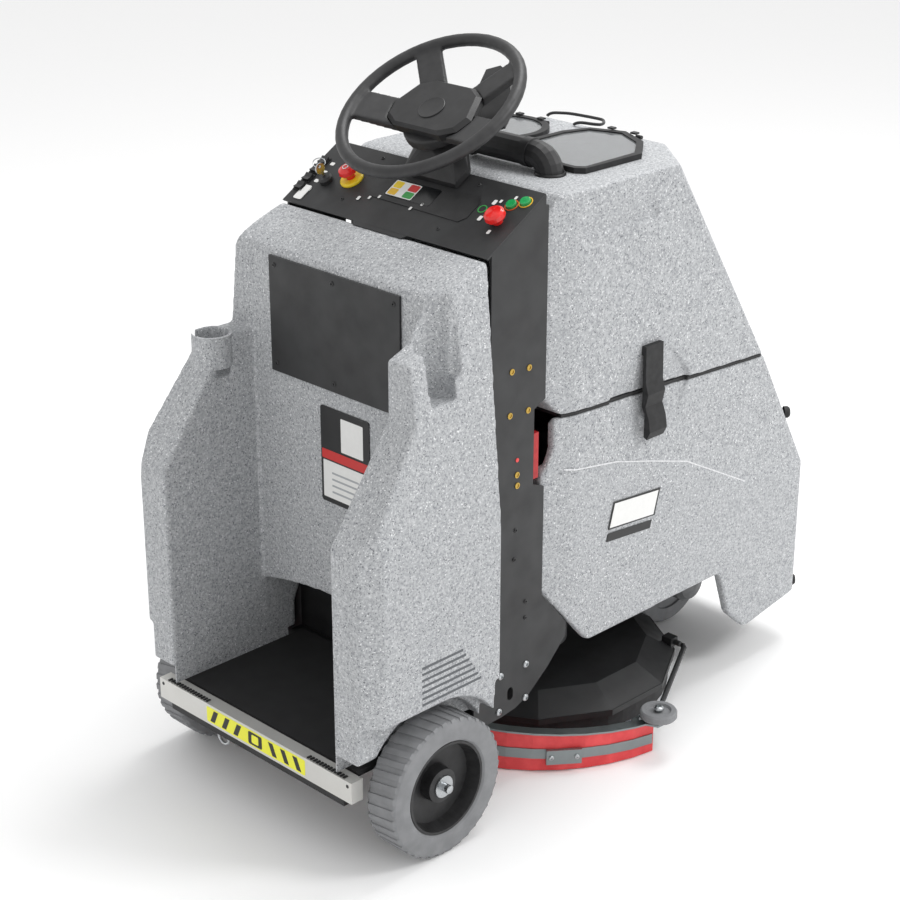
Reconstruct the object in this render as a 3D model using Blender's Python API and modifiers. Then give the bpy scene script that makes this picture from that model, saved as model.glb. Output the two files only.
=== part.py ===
"""Stand-on floor scrubber-dryer, modelled as an assembly of separate pieces.

Metres, +Z up, +X towards the nose, +Y to the operator's left. The floor is Z = 0. Every size below is
measured from the rear axle, and one empty moves the whole machine so that the middle of its length is X = 0.
"""

import math

import bmesh
import bpy
from mathutils import Matrix, Vector

# ---- driving dimensions, from the rear axle -------------------------------------------------------------
GAP = 0.0003  # between pieces that touch
SHEET = 0.005  # side panels, knee panel

WHEEL_R = 0.140
WHEEL_W = 0.075
WHEEL_OUT_Y = 0.354  # outer face of a rear wheel
RIM_R = 0.094
AXLE_R = 0.0125

BAR_HALF = 0.283
BAR_DEPTH = 0.028
BAR_X = -WHEEL_R - 0.010 - BAR_DEPTH  # rear face of the step bar, which clears the tyres
BAR_LOW = 0.153
BAR_TOP = 0.197
MAT_TOP = 0.200
MAT_T = 0.006
MAT_HALF = 0.262
MAT_FRONT = 0.160

SHROUD_REAR_X = BAR_X + 0.002
SHROUD_WALL_X = 0.058  # rear face of the wall in front of the operator
SHROUD_FRONT_TOP_X = 0.176
SHROUD_FRONT_LOW_X = 0.156
SHROUD_TOP_Z = 1.106
SHROUD_T = 0.008
BAY_HALF = 0.235
WING_OUT_Y = 0.337
WING_TAPER_Z = 0.620  # the wings' outer faces lean in above this
SLOPE_LOW_Z = 0.655
SLOPE_TOP_Z = 0.857
SLOPE_TOP_X = -0.033
LEFT_LEDGE_Z = 0.885
RIGHT_LEDGE_Z = 0.965
FOOT_Z = 0.235
FOOT_OUT_Y = 0.300
FENDER_GAP = 0.035  # from the tyre to the arch over it
FENDER_Z = 2 * WHEEL_R + FENDER_GAP
FENDER_R = WHEEL_R + FENDER_GAP
TOE_TOP_Z = 0.385

CUP_X = -0.020
CUP_Y = 0.268
CUP_R = 0.034
CUP_WALL = 0.006
CUP_DEPTH = 0.080
POCKET_X = 0.040
POCKET_Y = -0.279
POCKET_R = 0.037
POCKET_FLOOR_Z = 0.880
POCKET_SLOT_X = 0.056
POCKET_SLOT_W = 0.064
POCKET_SLOT_Z = 0.920
WALL_HOLLOW_HALF = 0.200  # the hollow inside the wall in front of the operator

PANEL_OUT_Y = 0.2756
PANEL_REAR_X = 0.186
PANEL_FRONT_X = 0.333
CONSOLE_REAR = (0.178, 1.113)  # X, Z of the console's lower edge
CONSOLE_SLOPE = math.radians(31)
CONSOLE_LENGTH = 0.170
CONSOLE_T = 0.004
CONSOLE_FLANGE = 0.022
CONSOLE_LIP = 0.014

KNEE_HALF = 0.178
KNEE_LOW_Z = 0.818
KNEE_TOP_Z = 1.047

TANK_HALF = 0.2776
TANK_REAR_X = 0.336
TANK_TAPER_X = 0.420  # behind this the tanks' sides draw in
TANK_TAPER = 0.18
FRONT_SHARE = 1.3  # a wall's inset at the slanting front, as a share of its thickness
TANK_BELLY = 0.005  # how far the solution tank stands out below its crease
TANK_TOP_Z = 1.187
TANK_WALL = 0.012
TANK_TOP_FRONT = (0.700, 0.800)  # X of the top's front edge at the sides and in the middle
TANK_SEAM_FRONT = (1.004, 1.075)
TANK_NOSE_FRONT = (1.163, 1.198)
SEAM_REAR_Z = 0.753  # the seam between the tanks at X = 0.38
SEAM_SLOPE = -0.0516
SEAM_T = 0.006
NOSE_Z = 0.435
TANK_FLOOR_Z = 0.251
BAY_SKIN = 0.016  # the solution tank's wall round the battery bay
GASKET_W = 0.024
LATCH_X = 0.634
LATCH_HALF = 0.026
LATCH_DISH = 0.011
TANK_HINGE = (1.0830, 0.0, 0.7165)

DECK_X = 0.612
DECK_R = 0.308
DECK_TOP_R = 0.245
DECK_LIP_Z = 0.058
DECK_LOW_Z = 0.070
DECK_TOP_Z = 0.105
DECK_SIDES = 12
BRUSH_R = DECK_R - 0.036
BRUSH_LOW_Z = 0.003
DECK_LIFT = 0.045

SQUEEGEE_X = 0.612
SQUEEGEE_R = 0.390
SQUEEGEE_HALF_ANGLE = math.radians(82.5)
SQUEEGEE_TOP_Z = 0.091  # at the back; the top falls towards the ends
SQUEEGEE_FALL = -0.075
SQUEEGEE_PLATE_T = 0.004
BLADE_T = 0.004
ROLLER_R = 0.038
ROLLER_H = 0.018
ROLLER_Y = 0.394
ROLLER_X = 0.562
ROLLER_PIN_R = 0.006
ARM_R = 0.006
ARM_PIVOT = (DECK_X + 0.724 * DECK_R, 0.740 * DECK_R, 0.084)  # outer end of the deck's left link pin

DRIVE_X = 1.035
DRIVE_R = 0.115
DRIVE_W = 0.075

COLUMN_TILT = math.radians(32.35)
ESTOP_AT = (0.086, 0.160)  # up the console's slope and across it
ESTOP_STEM_R = 0.009
BUTTON_R = 0.0105
BUTTONS = (("forward", (0.1245, -0.229)), ("reverse", (0.139, -0.252)))
WHEEL_CENTRE = Vector((0.304, 0.0, 1.320))
STEER_R = 0.179
COLUMN_R = 0.018
STEER_TUBE_R = 0.013
# degrees from the top, half-width at the rim
SPOKES = ((42, 0.026), (-42, 0.026), (102, 0.034), (-102, 0.034))

LID_T = 0.011
LID_FRAME_W = 0.015
LID_SEAT = 0.016  # from a lid's edge to its mouth's edge
RIGHT_LID = (
    (0.513, -0.203),
    (0.673, -0.204),
    (0.748, -0.145),
    (0.786, -0.067),
    (0.760, 0.005),
    (0.700, 0.027),
    (0.600, 0.027),
    (0.520, -0.035),
    (0.500, -0.100),
    (0.500, -0.185),
)
LEFT_LID_CENTRE = (0.640, 0.148)
LEFT_LID_R = 0.105
PIPE_X = 0.467
PIPE_Y = -0.155
PIPE_FAR_Y = 0.070
PIPE_R = 0.0265
PIPE_BEND = 0.036
PIPE_TOP_Z = 1.2195

RAIL_Y = (0.170, 0.215)
RAIL_Z = (0.262, 0.302)

MID_X = (BAR_X + TANK_NOSE_FRONT[1]) / 2  # the middle of the machine's length

PARTS = "stand_on_scrubber"
CUTTERS = "cutters"


# ---- scene, materials and modelling helpers -------------------------------------------------------------
def clear_scene():
    for obj in list(bpy.data.objects):
        bpy.data.objects.remove(obj, do_unlink=True)


def new_collection(name):
    made = bpy.data.collections.new(name)
    bpy.context.scene.collection.children.link(made)
    return made


def new_origin():
    """The empty that carries every piece: it sits at the rear axle's place on the floor."""
    origin = bpy.data.objects.new("machine_origin", None)
    origin.location = (-MID_X, 0.0, 0.0)
    bpy.context.scene.collection.objects.link(origin)
    return origin


def linear(hex_colour):
    """sRGB hex to linear red, green and blue."""
    values = [int(hex_colour[i : i + 2], 16) / 255 for i in (1, 3, 5)]
    return [v / 12.92 if v <= 0.04045 else ((v + 0.055) / 1.055) ** 2.4 for v in values]


def material(name, hex_colour, roughness, metallic=0.0, alpha=1.0):
    made = bpy.data.materials.new(name)
    made.use_nodes = True
    shader = made.node_tree.nodes["Principled BSDF"]
    shader.inputs["Base Color"].default_value = (*linear(hex_colour), 1.0)
    shader.inputs["Roughness"].default_value = roughness
    shader.inputs["Metallic"].default_value = metallic
    shader.inputs["Alpha"].default_value = alpha
    made.diffuse_color = (*linear(hex_colour), alpha)
    return made


clear_scene()
parts = new_collection(PARTS)
cutters = new_collection(CUTTERS)
origin = new_origin()

GRANITE = material("granite_polyethylene", "#B9BABD", 0.65)
BLACK_STEEL = material("black_powder_coat", "#2E2E2F", 0.5)
FRAME_STEEL = material("black_frame_paint", "#1C1C1D", 0.55)
BARE_STEEL = material("zinc_plated_steel", "#A9ADAF", 0.35, 1.0)
BAR_STEEL = material("stainless_bar", "#D0CFCB", 0.35, 0.6)
TYRE = material("grey_rubber", "#808180", 0.8)
RIM = material("black_nylon", "#262626", 0.5)
MAT = material("black_rubber_mat", "#2B2B2C", 0.85)
BLACK_PLASTIC = material("black_moulded_plastic", "#202021", 0.45)
RED_RUBBER = material("red_gum_rubber", "#E0484A", 0.6)
STRAP_STEEL = material("spring_steel_strap", "#7A8282", 0.4, 0.8)
RED_PLASTIC = material("red_plastic", "#D8231F", 0.35)
YELLOW_PLASTIC = material("yellow_plastic", "#E8C81E", 0.45)
GREEN_PLASTIC = material("green_plastic", "#2E8B4A", 0.4)
CLEAR = material("clear_polycarbonate", "#D9DCDD", 0.12, 0.0, 0.4)
BRISTLE = material("blue_nylon_bristle", "#2F4E7A", 0.8)
MOTOR_GREY = material("grey_motor_paint", "#6D6F70", 0.5)
BATTERY = material("battery_case", "#3A3C40", 0.5)


def add_object(name, mesh, finish, matrix=None):
    """A piece: one mesh object in the parts collection, under the origin."""
    obj = bpy.data.objects.new(name, mesh)
    parts.objects.link(obj)
    obj.parent = origin
    obj.matrix_basis = matrix or Matrix()
    if finish is not None:
        mesh.materials.append(finish)
    mesh.shade_smooth()
    mesh.set_sharp_from_angle(angle=math.radians(35))
    return obj


def add_bmesh(name, bm, finish, matrix=None):
    bmesh.ops.recalc_face_normals(bm, faces=bm.faces)
    mesh = bpy.data.meshes.new(name)
    bm.to_mesh(mesh)
    bm.free()
    return add_object(name, mesh, finish, matrix)


def box(name, low, high, finish=None, matrix=None):
    low = Vector(low)
    size = Vector(high) - low
    bm = bmesh.new()
    bmesh.ops.create_cube(bm, size=1.0)
    bmesh.ops.scale(bm, vec=size, verts=bm.verts)
    bmesh.ops.translate(bm, vec=low + size / 2, verts=bm.verts)
    return add_bmesh(name, bm, finish, matrix)


def cone(name, start, end, radii, finish=None, sides=32, matrix=None, turn=0.0):
    """A cylinder or cone frustum between two points; turn rotates its sides about its own axis."""
    start = Vector(start)
    along = Vector(end) - start
    bm = bmesh.new()
    bmesh.ops.create_cone(
        bm, cap_ends=True, segments=sides, radius1=radii[0], radius2=radii[1], depth=along.length
    )
    bmesh.ops.rotate(bm, matrix=Matrix.Rotation(turn, 3, "Z"), verts=bm.verts)
    bmesh.ops.rotate(bm, matrix=along.to_track_quat("Z", "Y").to_matrix(), verts=bm.verts)
    bmesh.ops.translate(bm, vec=start + along / 2, verts=bm.verts)
    return add_bmesh(name, bm, finish, matrix)


def cylinder(name, start, end, radius, finish=None, sides=32, matrix=None):
    return cone(name, start, end, (radius, radius), finish, sides, matrix)


def hull(name, points, finish=None, matrix=None):
    """The convex block round a list of corner points."""
    bm = bmesh.new()
    corners = [bm.verts.new(p) for p in points]
    made = bmesh.ops.convex_hull(bm, input=corners)
    spare = {v for v in made["geom_interior"] if isinstance(v, bmesh.types.BMVert)}
    bmesh.ops.delete(bm, geom=list(spare), context="VERTS")
    bmesh.ops.dissolve_limit(bm, angle_limit=math.radians(1), verts=bm.verts, edges=bm.edges)
    return add_bmesh(name, bm, finish, matrix)


PLANES = {
    "XY": Matrix(((1, 0, 0), (0, 1, 0), (0, 0, 1))),
    "XZ": Matrix(((1, 0, 0), (0, 0, -1), (0, 1, 0))),
    "YZ": Matrix(((0, 0, 1), (1, 0, 0), (0, 1, 0))),
}


def plate(name, outline, plane, low, high, finish=None, matrix=None):
    """A flat outline in one plane, extruded along the third axis from low to high."""
    curve = bpy.data.curves.new(name, "CURVE")
    curve.dimensions = "2D"
    curve.fill_mode = "BOTH"
    curve.extrude = (high - low) / 2
    spline = curve.splines.new("POLY")
    spline.points.add(len(outline) - 1)
    for point, (u, v) in zip(spline.points, outline):
        point.co = (u, v, 0.0, 1.0)
    spline.use_cyclic_u = True
    flat = bpy.data.objects.new(name + "_outline", curve)
    cutters.objects.link(flat)
    bpy.context.view_layer.update()
    mesh = bpy.data.meshes.new_from_object(flat.evaluated_get(bpy.context.evaluated_depsgraph_get()))
    bpy.data.objects.remove(flat, do_unlink=True)
    middle = (low + high) / 2
    turned = PLANES[plane].to_4x4()
    shift = turned @ Vector((0.0, 0.0, middle if plane != "XZ" else -middle))
    bm = bmesh.new()
    bm.from_mesh(mesh)
    bpy.data.meshes.remove(mesh)
    bmesh.ops.remove_doubles(bm, verts=bm.verts, dist=1e-5)
    bmesh.ops.transform(bm, matrix=Matrix.Translation(shift) @ turned, verts=bm.verts)
    return add_bmesh(name, bm, finish, matrix)


def turned(name, profile, finish=None, matrix=None, steps=32):
    """A closed profile of (radius, height) points, turned about the local Z axis."""
    bm = bmesh.new()
    ring = [bm.verts.new((r, 0.0, z)) for r, z in profile]
    for i, vert in enumerate(ring):
        bm.edges.new((vert, ring[(i + 1) % len(ring)]))
    mesh = bpy.data.meshes.new(name)
    bm.to_mesh(mesh)
    bm.free()
    obj = bpy.data.objects.new(name + "_profile", mesh)
    cutters.objects.link(obj)
    screw = obj.modifiers.new("turn", "SCREW")
    screw.steps = steps
    screw.render_steps = steps
    screw.use_merge_vertices = True
    screw.merge_threshold = 1e-5
    bpy.context.view_layer.update()
    made = bpy.data.meshes.new_from_object(obj.evaluated_get(bpy.context.evaluated_depsgraph_get()))
    bpy.data.objects.remove(obj, do_unlink=True)
    bm = bmesh.new()
    bm.from_mesh(made)
    bpy.data.meshes.remove(made)
    bmesh.ops.remove_doubles(bm, verts=bm.verts, dist=1e-6)
    return add_bmesh(name, bm, finish, matrix)


def tube(name, points, radius, finish=None, matrix=None, sides=4):
    """A round bar along a list of points, with filled ends, as a closed mesh."""
    curve = bpy.data.curves.new(name, "CURVE")
    curve.dimensions = "3D"
    curve.bevel_depth = radius
    curve.bevel_resolution = sides
    curve.use_fill_caps = True
    spline = curve.splines.new("POLY")
    spline.points.add(len(points) - 1)
    for point, place in zip(spline.points, points):
        point.co = (*place, 1.0)
    wire = bpy.data.objects.new(name + "_path", curve)
    cutters.objects.link(wire)
    bpy.context.view_layer.update()
    mesh = bpy.data.meshes.new_from_object(wire.evaluated_get(bpy.context.evaluated_depsgraph_get()))
    bpy.data.objects.remove(wire, do_unlink=True)
    bm = bmesh.new()
    bm.from_mesh(mesh)
    bpy.data.meshes.remove(mesh)
    bmesh.ops.remove_doubles(bm, verts=bm.verts, dist=1e-6)
    return add_bmesh(name, bm, finish, matrix)


def combine(obj, operation, tools):
    """Boolean each tool into obj; a tool becomes a hidden wire helper."""
    for tool in tools:
        parts.objects.unlink(tool)
        cutters.objects.link(tool)
        tool.hide_render = True
        tool.display_type = "WIRE"
        boolean = obj.modifiers.new(tool.name, "BOOLEAN")
        boolean.operation = operation
        boolean.solver = "EXACT"
        boolean.object = tool
    return obj


def cut(obj, *tools):
    return combine(obj, "DIFFERENCE", tools)


def join(obj, *tools):
    return combine(obj, "UNION", tools)


def keep_inside(obj, *tools):
    return combine(obj, "INTERSECT", tools)


def bevel(obj, width, segments=2):
    """Rounded edges, before any cut."""
    made = obj.modifiers.new("rounded", "BEVEL")
    made.width = width
    made.segments = segments
    made.limit_method = "ANGLE"
    made.angle_limit = math.radians(25)
    return obj


def set_pivot(obj, point):
    """Moves the object's own origin onto its joint, with the piece where it was."""
    point = Vector(point)
    obj.data.transform(Matrix.Translation(-point))
    obj.matrix_basis = obj.matrix_basis @ Matrix.Translation(point)
    return obj


def arc(centre, radius, first, last, count):
    """Points on an arc, angles in radians."""
    steps = [first + (last - first) * i / (count - 1) for i in range(count)]
    return [(centre[0] + radius * math.cos(a), centre[1] + radius * math.sin(a)) for a in steps]


SIDES = (("left", 1), ("right", -1))


def span(side, near, far):
    """Low and high Y for a piece between two distances from the middle, on one side."""
    return (near, far) if side > 0 else (-far, -near)


def console_frame():
    """Local X up the console's slope, Y across it, Z off its face; the origin is its lower edge."""
    c, s = math.cos(CONSOLE_SLOPE), math.sin(CONSOLE_SLOPE)
    turn = Matrix(((c, 0, -s), (0, 1, 0), (s, 0, c))).to_4x4()
    return Matrix.Translation((CONSOLE_REAR[0], 0.0, CONSOLE_REAR[1])) @ turn


def wheel_frame():
    """Local Z along the steering column, out of the wheel towards the operator."""
    c, s = math.cos(COLUMN_TILT), math.sin(COLUMN_TILT)
    return Matrix.Translation(WHEEL_CENTRE) @ Matrix(((c, 0, -s), (0, 1, 0), (s, 0, c))).to_4x4()


def axle_frame(x, y, z):
    """Local Z along world Y, for turned pieces on a cross axle."""
    return Matrix.Translation((x, y, z)) @ Matrix.Rotation(-math.pi / 2, 4, "X")


def seam_z(x):
    return SEAM_REAR_Z + SEAM_SLOPE * (x - 0.38)


# ---- rear end: wheels, platform and step bar ------------------------------------------------------------
def rear_wheels():
    inner = WHEEL_OUT_Y - WHEEL_W
    half = WHEEL_W / 2
    for word, side in SIDES:
        centre = axle_frame(0.0, side * (inner + half), WHEEL_R)
        crown = WHEEL_R - 0.006
        tyre = [(RIM_R, -half), (crown, -half), (WHEEL_R, -half + 0.008), (WHEEL_R, half - 0.008)]
        tyre += [(crown, half), (RIM_R, half)]
        turned(f"rear_tyre_{word}", tyre, TYRE, centre, 48)
        lip = RIM_R - GAP
        rim = [(lip, -half + 0.004), (lip, half - 0.004), (lip - 0.005, half - 0.004), (lip - 0.012, 0.004)]
        rim += [(0.036, -0.002), (0.034, half - 0.016), (0.0245, half - 0.014),
                (AXLE_R + GAP, half - 0.014)]
        rim += [(AXLE_R + GAP, -half + 0.004), (0.034, -half + 0.004), (0.036, -0.014),
                (lip - 0.014, -0.012)]
        rim += [(lip - 0.005, -half + 0.004)]
        if side < 0:
            rim = [(r, -z) for r, z in rim]
        turned(f"rear_rim_{word}", rim, RIM, centre, 40)


def rear_axle():
    end = WHEEL_OUT_Y - 0.014 + GAP
    profile = [(0.0, -end - 0.010), (0.0085, -end - 0.010), (0.0085, -end - 0.003), (0.022, -end - 0.003)]
    profile += [(0.022, -end), (AXLE_R, -end), (AXLE_R, end), (0.022, end), (0.022, end + 0.003)]
    profile += [(0.0085, end + 0.003), (0.0085, end + 0.010), (0.0, end + 0.010)]
    turned("rear_axle", profile, BARE_STEEL, axle_frame(0.0, 0.0, WHEEL_R), 24)


def platform():
    under = MAT_TOP - MAT_T - GAP
    front = BAR_X + BAR_DEPTH
    notch_x = 0.03
    outline = [(front + 0.004, -MAT_HALF), (notch_x, -MAT_HALF), (notch_x + 0.004, -MAT_HALF + 0.026)]
    outline += [(MAT_FRONT, -MAT_HALF + 0.026)]
    outline += [(x, -y) for x, y in reversed(outline)]
    plate("platform_mat", outline, "XY", under + GAP, MAT_TOP, MAT)

    bar = box("step_bar", (BAR_X, -BAR_HALF, BAR_LOW), (front, BAR_HALF, BAR_TOP), BAR_STEEL)
    wall = 0.003
    hollow = box("step_bar_hollow", (BAR_X + wall, -BAR_HALF + wall, BAR_LOW + wall),
                 (front + 0.02, BAR_HALF - wall, BAR_TOP - wall))
    cut(bar, hollow)

    ring_y = 0.100
    ring = [(BAR_X + 0.012, ring_y + dy, z) for dy,
            z in arc((0.0, BAR_LOW - 0.020), 0.016, math.pi, 2 * math.pi, 11)]
    low = BAR_LOW - 0.018 - GAP
    ends = [(BAR_X + 0.012, ring_y - 0.016, low), (BAR_X + 0.012, ring_y + 0.016, low)]
    tube("tow_ring", [ends[0], *ring, ends[1]], 0.003, BARE_STEEL, sides=2)


# ---- steel frame ------------------------------------------------------------------------------------------
def chassis():
    deck_top = MAT_TOP - MAT_T - GAP
    front = BAR_X + BAR_DEPTH
    frame = box("chassis_frame", (front + GAP, -MAT_HALF, deck_top - 0.006), (0.1905, MAT_HALF, deck_top),
                FRAME_STEEL)
    bulkhead_x = 0.178
    pieces = [
        box("frame_bulkhead", (bulkhead_x, -0.262, 0.150), (bulkhead_x + 0.006, 0.262, 1.040)),
        box("frame_rear_member", (BAR_X + 0.006, -0.255, BAR_LOW - 0.018),
            (front + 0.012, 0.255, BAR_LOW - GAP)),
        box("frame_rear_web", (front + 0.002, -0.255, BAR_LOW - 0.010),
            (front + 0.008, 0.255, deck_top - 0.003)),
        box("frame_front_member", (1.130, -RAIL_Y[1], RAIL_Z[0]), (1.163, RAIL_Y[1], RAIL_Z[1])),
        box("frame_head_plate", (DRIVE_X - 0.070, -RAIL_Y[1], RAIL_Z[0] + 0.002),
            (DRIVE_X + 0.070, RAIL_Y[1], RAIL_Z[0] + 0.014)),
        box("frame_tray", (0.450, -RAIL_Y[1], RAIL_Z[1] - 0.001), (0.930, RAIL_Y[1], RAIL_Z[1] + 0.004)),
    ]
    for word, side in SIDES:
        low, high = span(side, *RAIL_Y)
        pieces.append(box(f"frame_rail_{word}", (bulkhead_x + 0.001, low, RAIL_Z[0]),
                          (1.140, high, RAIL_Z[1])))
        low, high = span(side, 0.240, 0.252)
        pieces.append(box(f"frame_axle_plate_{word}", (-0.035, low, 0.110),
                          (0.035, high, deck_top - 0.003)))
        low, high = span(side, RAIL_Y[1] - 0.003, TANK_HALF - TANK_WALL - 0.016)
        pieces.append(box(f"frame_tank_rest_{word}", (0.480, low, RAIL_Z[0] + 0.006),
                          (0.820, high, RAIL_Z[0] + 0.016)))
    join(frame, *pieces)
    bore = cylinder("frame_axle_bore", (0.0, -0.30, WHEEL_R), (0.0, 0.30, WHEEL_R), AXLE_R + GAP, sides=24)
    stem = cylinder("frame_stem_bore", (DRIVE_X, 0.0, 0.20), (DRIVE_X, 0.0, 0.40), 0.022 + GAP, sides=24)
    cut(frame, bore, stem)


def side_panels():
    c, s = math.cos(CONSOLE_SLOPE), math.sin(CONSOLE_SLOPE)
    under = CONSOLE_T + GAP
    low_x, low_z = CONSOLE_REAR[0] + under * s, CONSOLE_REAR[1] - under * c
    flange_x = CONSOLE_REAR[0] + CONSOLE_LENGTH * c - CONSOLE_T / 2 - GAP
    flange_z = CONSOLE_REAR[1] + CONSOLE_LENGTH * s - CONSOLE_FLANGE - GAP
    outline = [(PANEL_REAR_X, low_z + (PANEL_REAR_X - low_x) * s / c), (PANEL_REAR_X, 0.300),
               (0.146, 0.290)]
    outline += [(0.146, 0.168), (0.222, 0.170), (0.262, 0.175), (0.299, 0.190), (0.353, 0.232)]
    outline += [(0.404, 0.283), (0.406, 0.312)]
    outline += [(PANEL_FRONT_X, 0.398), (PANEL_FRONT_X, 0.628), (PANEL_FRONT_X - 0.030, 0.640)]
    outline += [(PANEL_FRONT_X - 0.030, 0.792), (PANEL_FRONT_X, 0.806), (PANEL_FRONT_X, flange_z)]
    outline += [(flange_x, flange_z), (flange_x, low_z + (flange_x - low_x) * s / c)]
    for word, side in SIDES:
        low, high = span(side, PANEL_OUT_Y - SHEET, PANEL_OUT_Y)
        panel = plate(f"side_panel_{word}", outline, "XZ", low, high, BLACK_STEEL)
        slot = plate(f"side_panel_slot_{word}",
                     arc((0.247, 0.219), 0.008, 0, math.pi, 6) + arc((0.247, 0.207), 0.008, math.pi,
                                                                     2 * math.pi, 6), "XZ", low - 0.01, high + 0.01)
        cut(panel, slot)


def console():
    """A folded plate: the sloping face, a lip over the shroud and a flange down behind the wheel."""
    c, s = math.cos(CONSOLE_SLOPE), math.sin(CONSOLE_SLOPE)
    x0, z0 = CONSOLE_REAR
    x1, z1 = x0 + CONSOLE_LENGTH * c, z0 + CONSOLE_LENGTH * s
    t = CONSOLE_T
    inside = (x1 - t / 2 - x0 - t * s) / c
    outline = [(x0 - 0.005 * c, z0 - 0.005 * s), (x1, z1), (x1 + t / 2, z1 - 0.003),
               (x1 + t / 2, z1 - CONSOLE_FLANGE)]
    outline += [(x1 - t / 2, z1 - CONSOLE_FLANGE), (x0 + inside * c + t * s, z0 + inside * s - t * c)]
    outline += [(x0 + t * s - 0.004 * c, z0 - t * c - 0.004 * s)]
    top = plate("console_plate", outline, "XZ", -PANEL_OUT_Y, PANEL_OUT_Y, BLACK_STEEL)
    lip = [(0.004, 0.078), (-0.004, 0.076), (-CONSOLE_LIP, 0.066), (-CONSOLE_LIP, -0.063),
           (-0.004, -0.073), (0.004, -0.075)]
    join(top, plate("console_lip", lip, "XY", -0.0028, -0.0002, matrix=console_frame()))
    holes = [("estop", ESTOP_AT, ESTOP_STEM_R)]
    holes += [(word, at, BUTTON_R) for word, at in BUTTONS]
    for word, (u, y), radius in holes:
        cut(top, cylinder(f"console_hole_{word}", (u, y, -0.02), (u, y, 0.02), radius + GAP, sides=24,
                          matrix=console_frame()))


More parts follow.
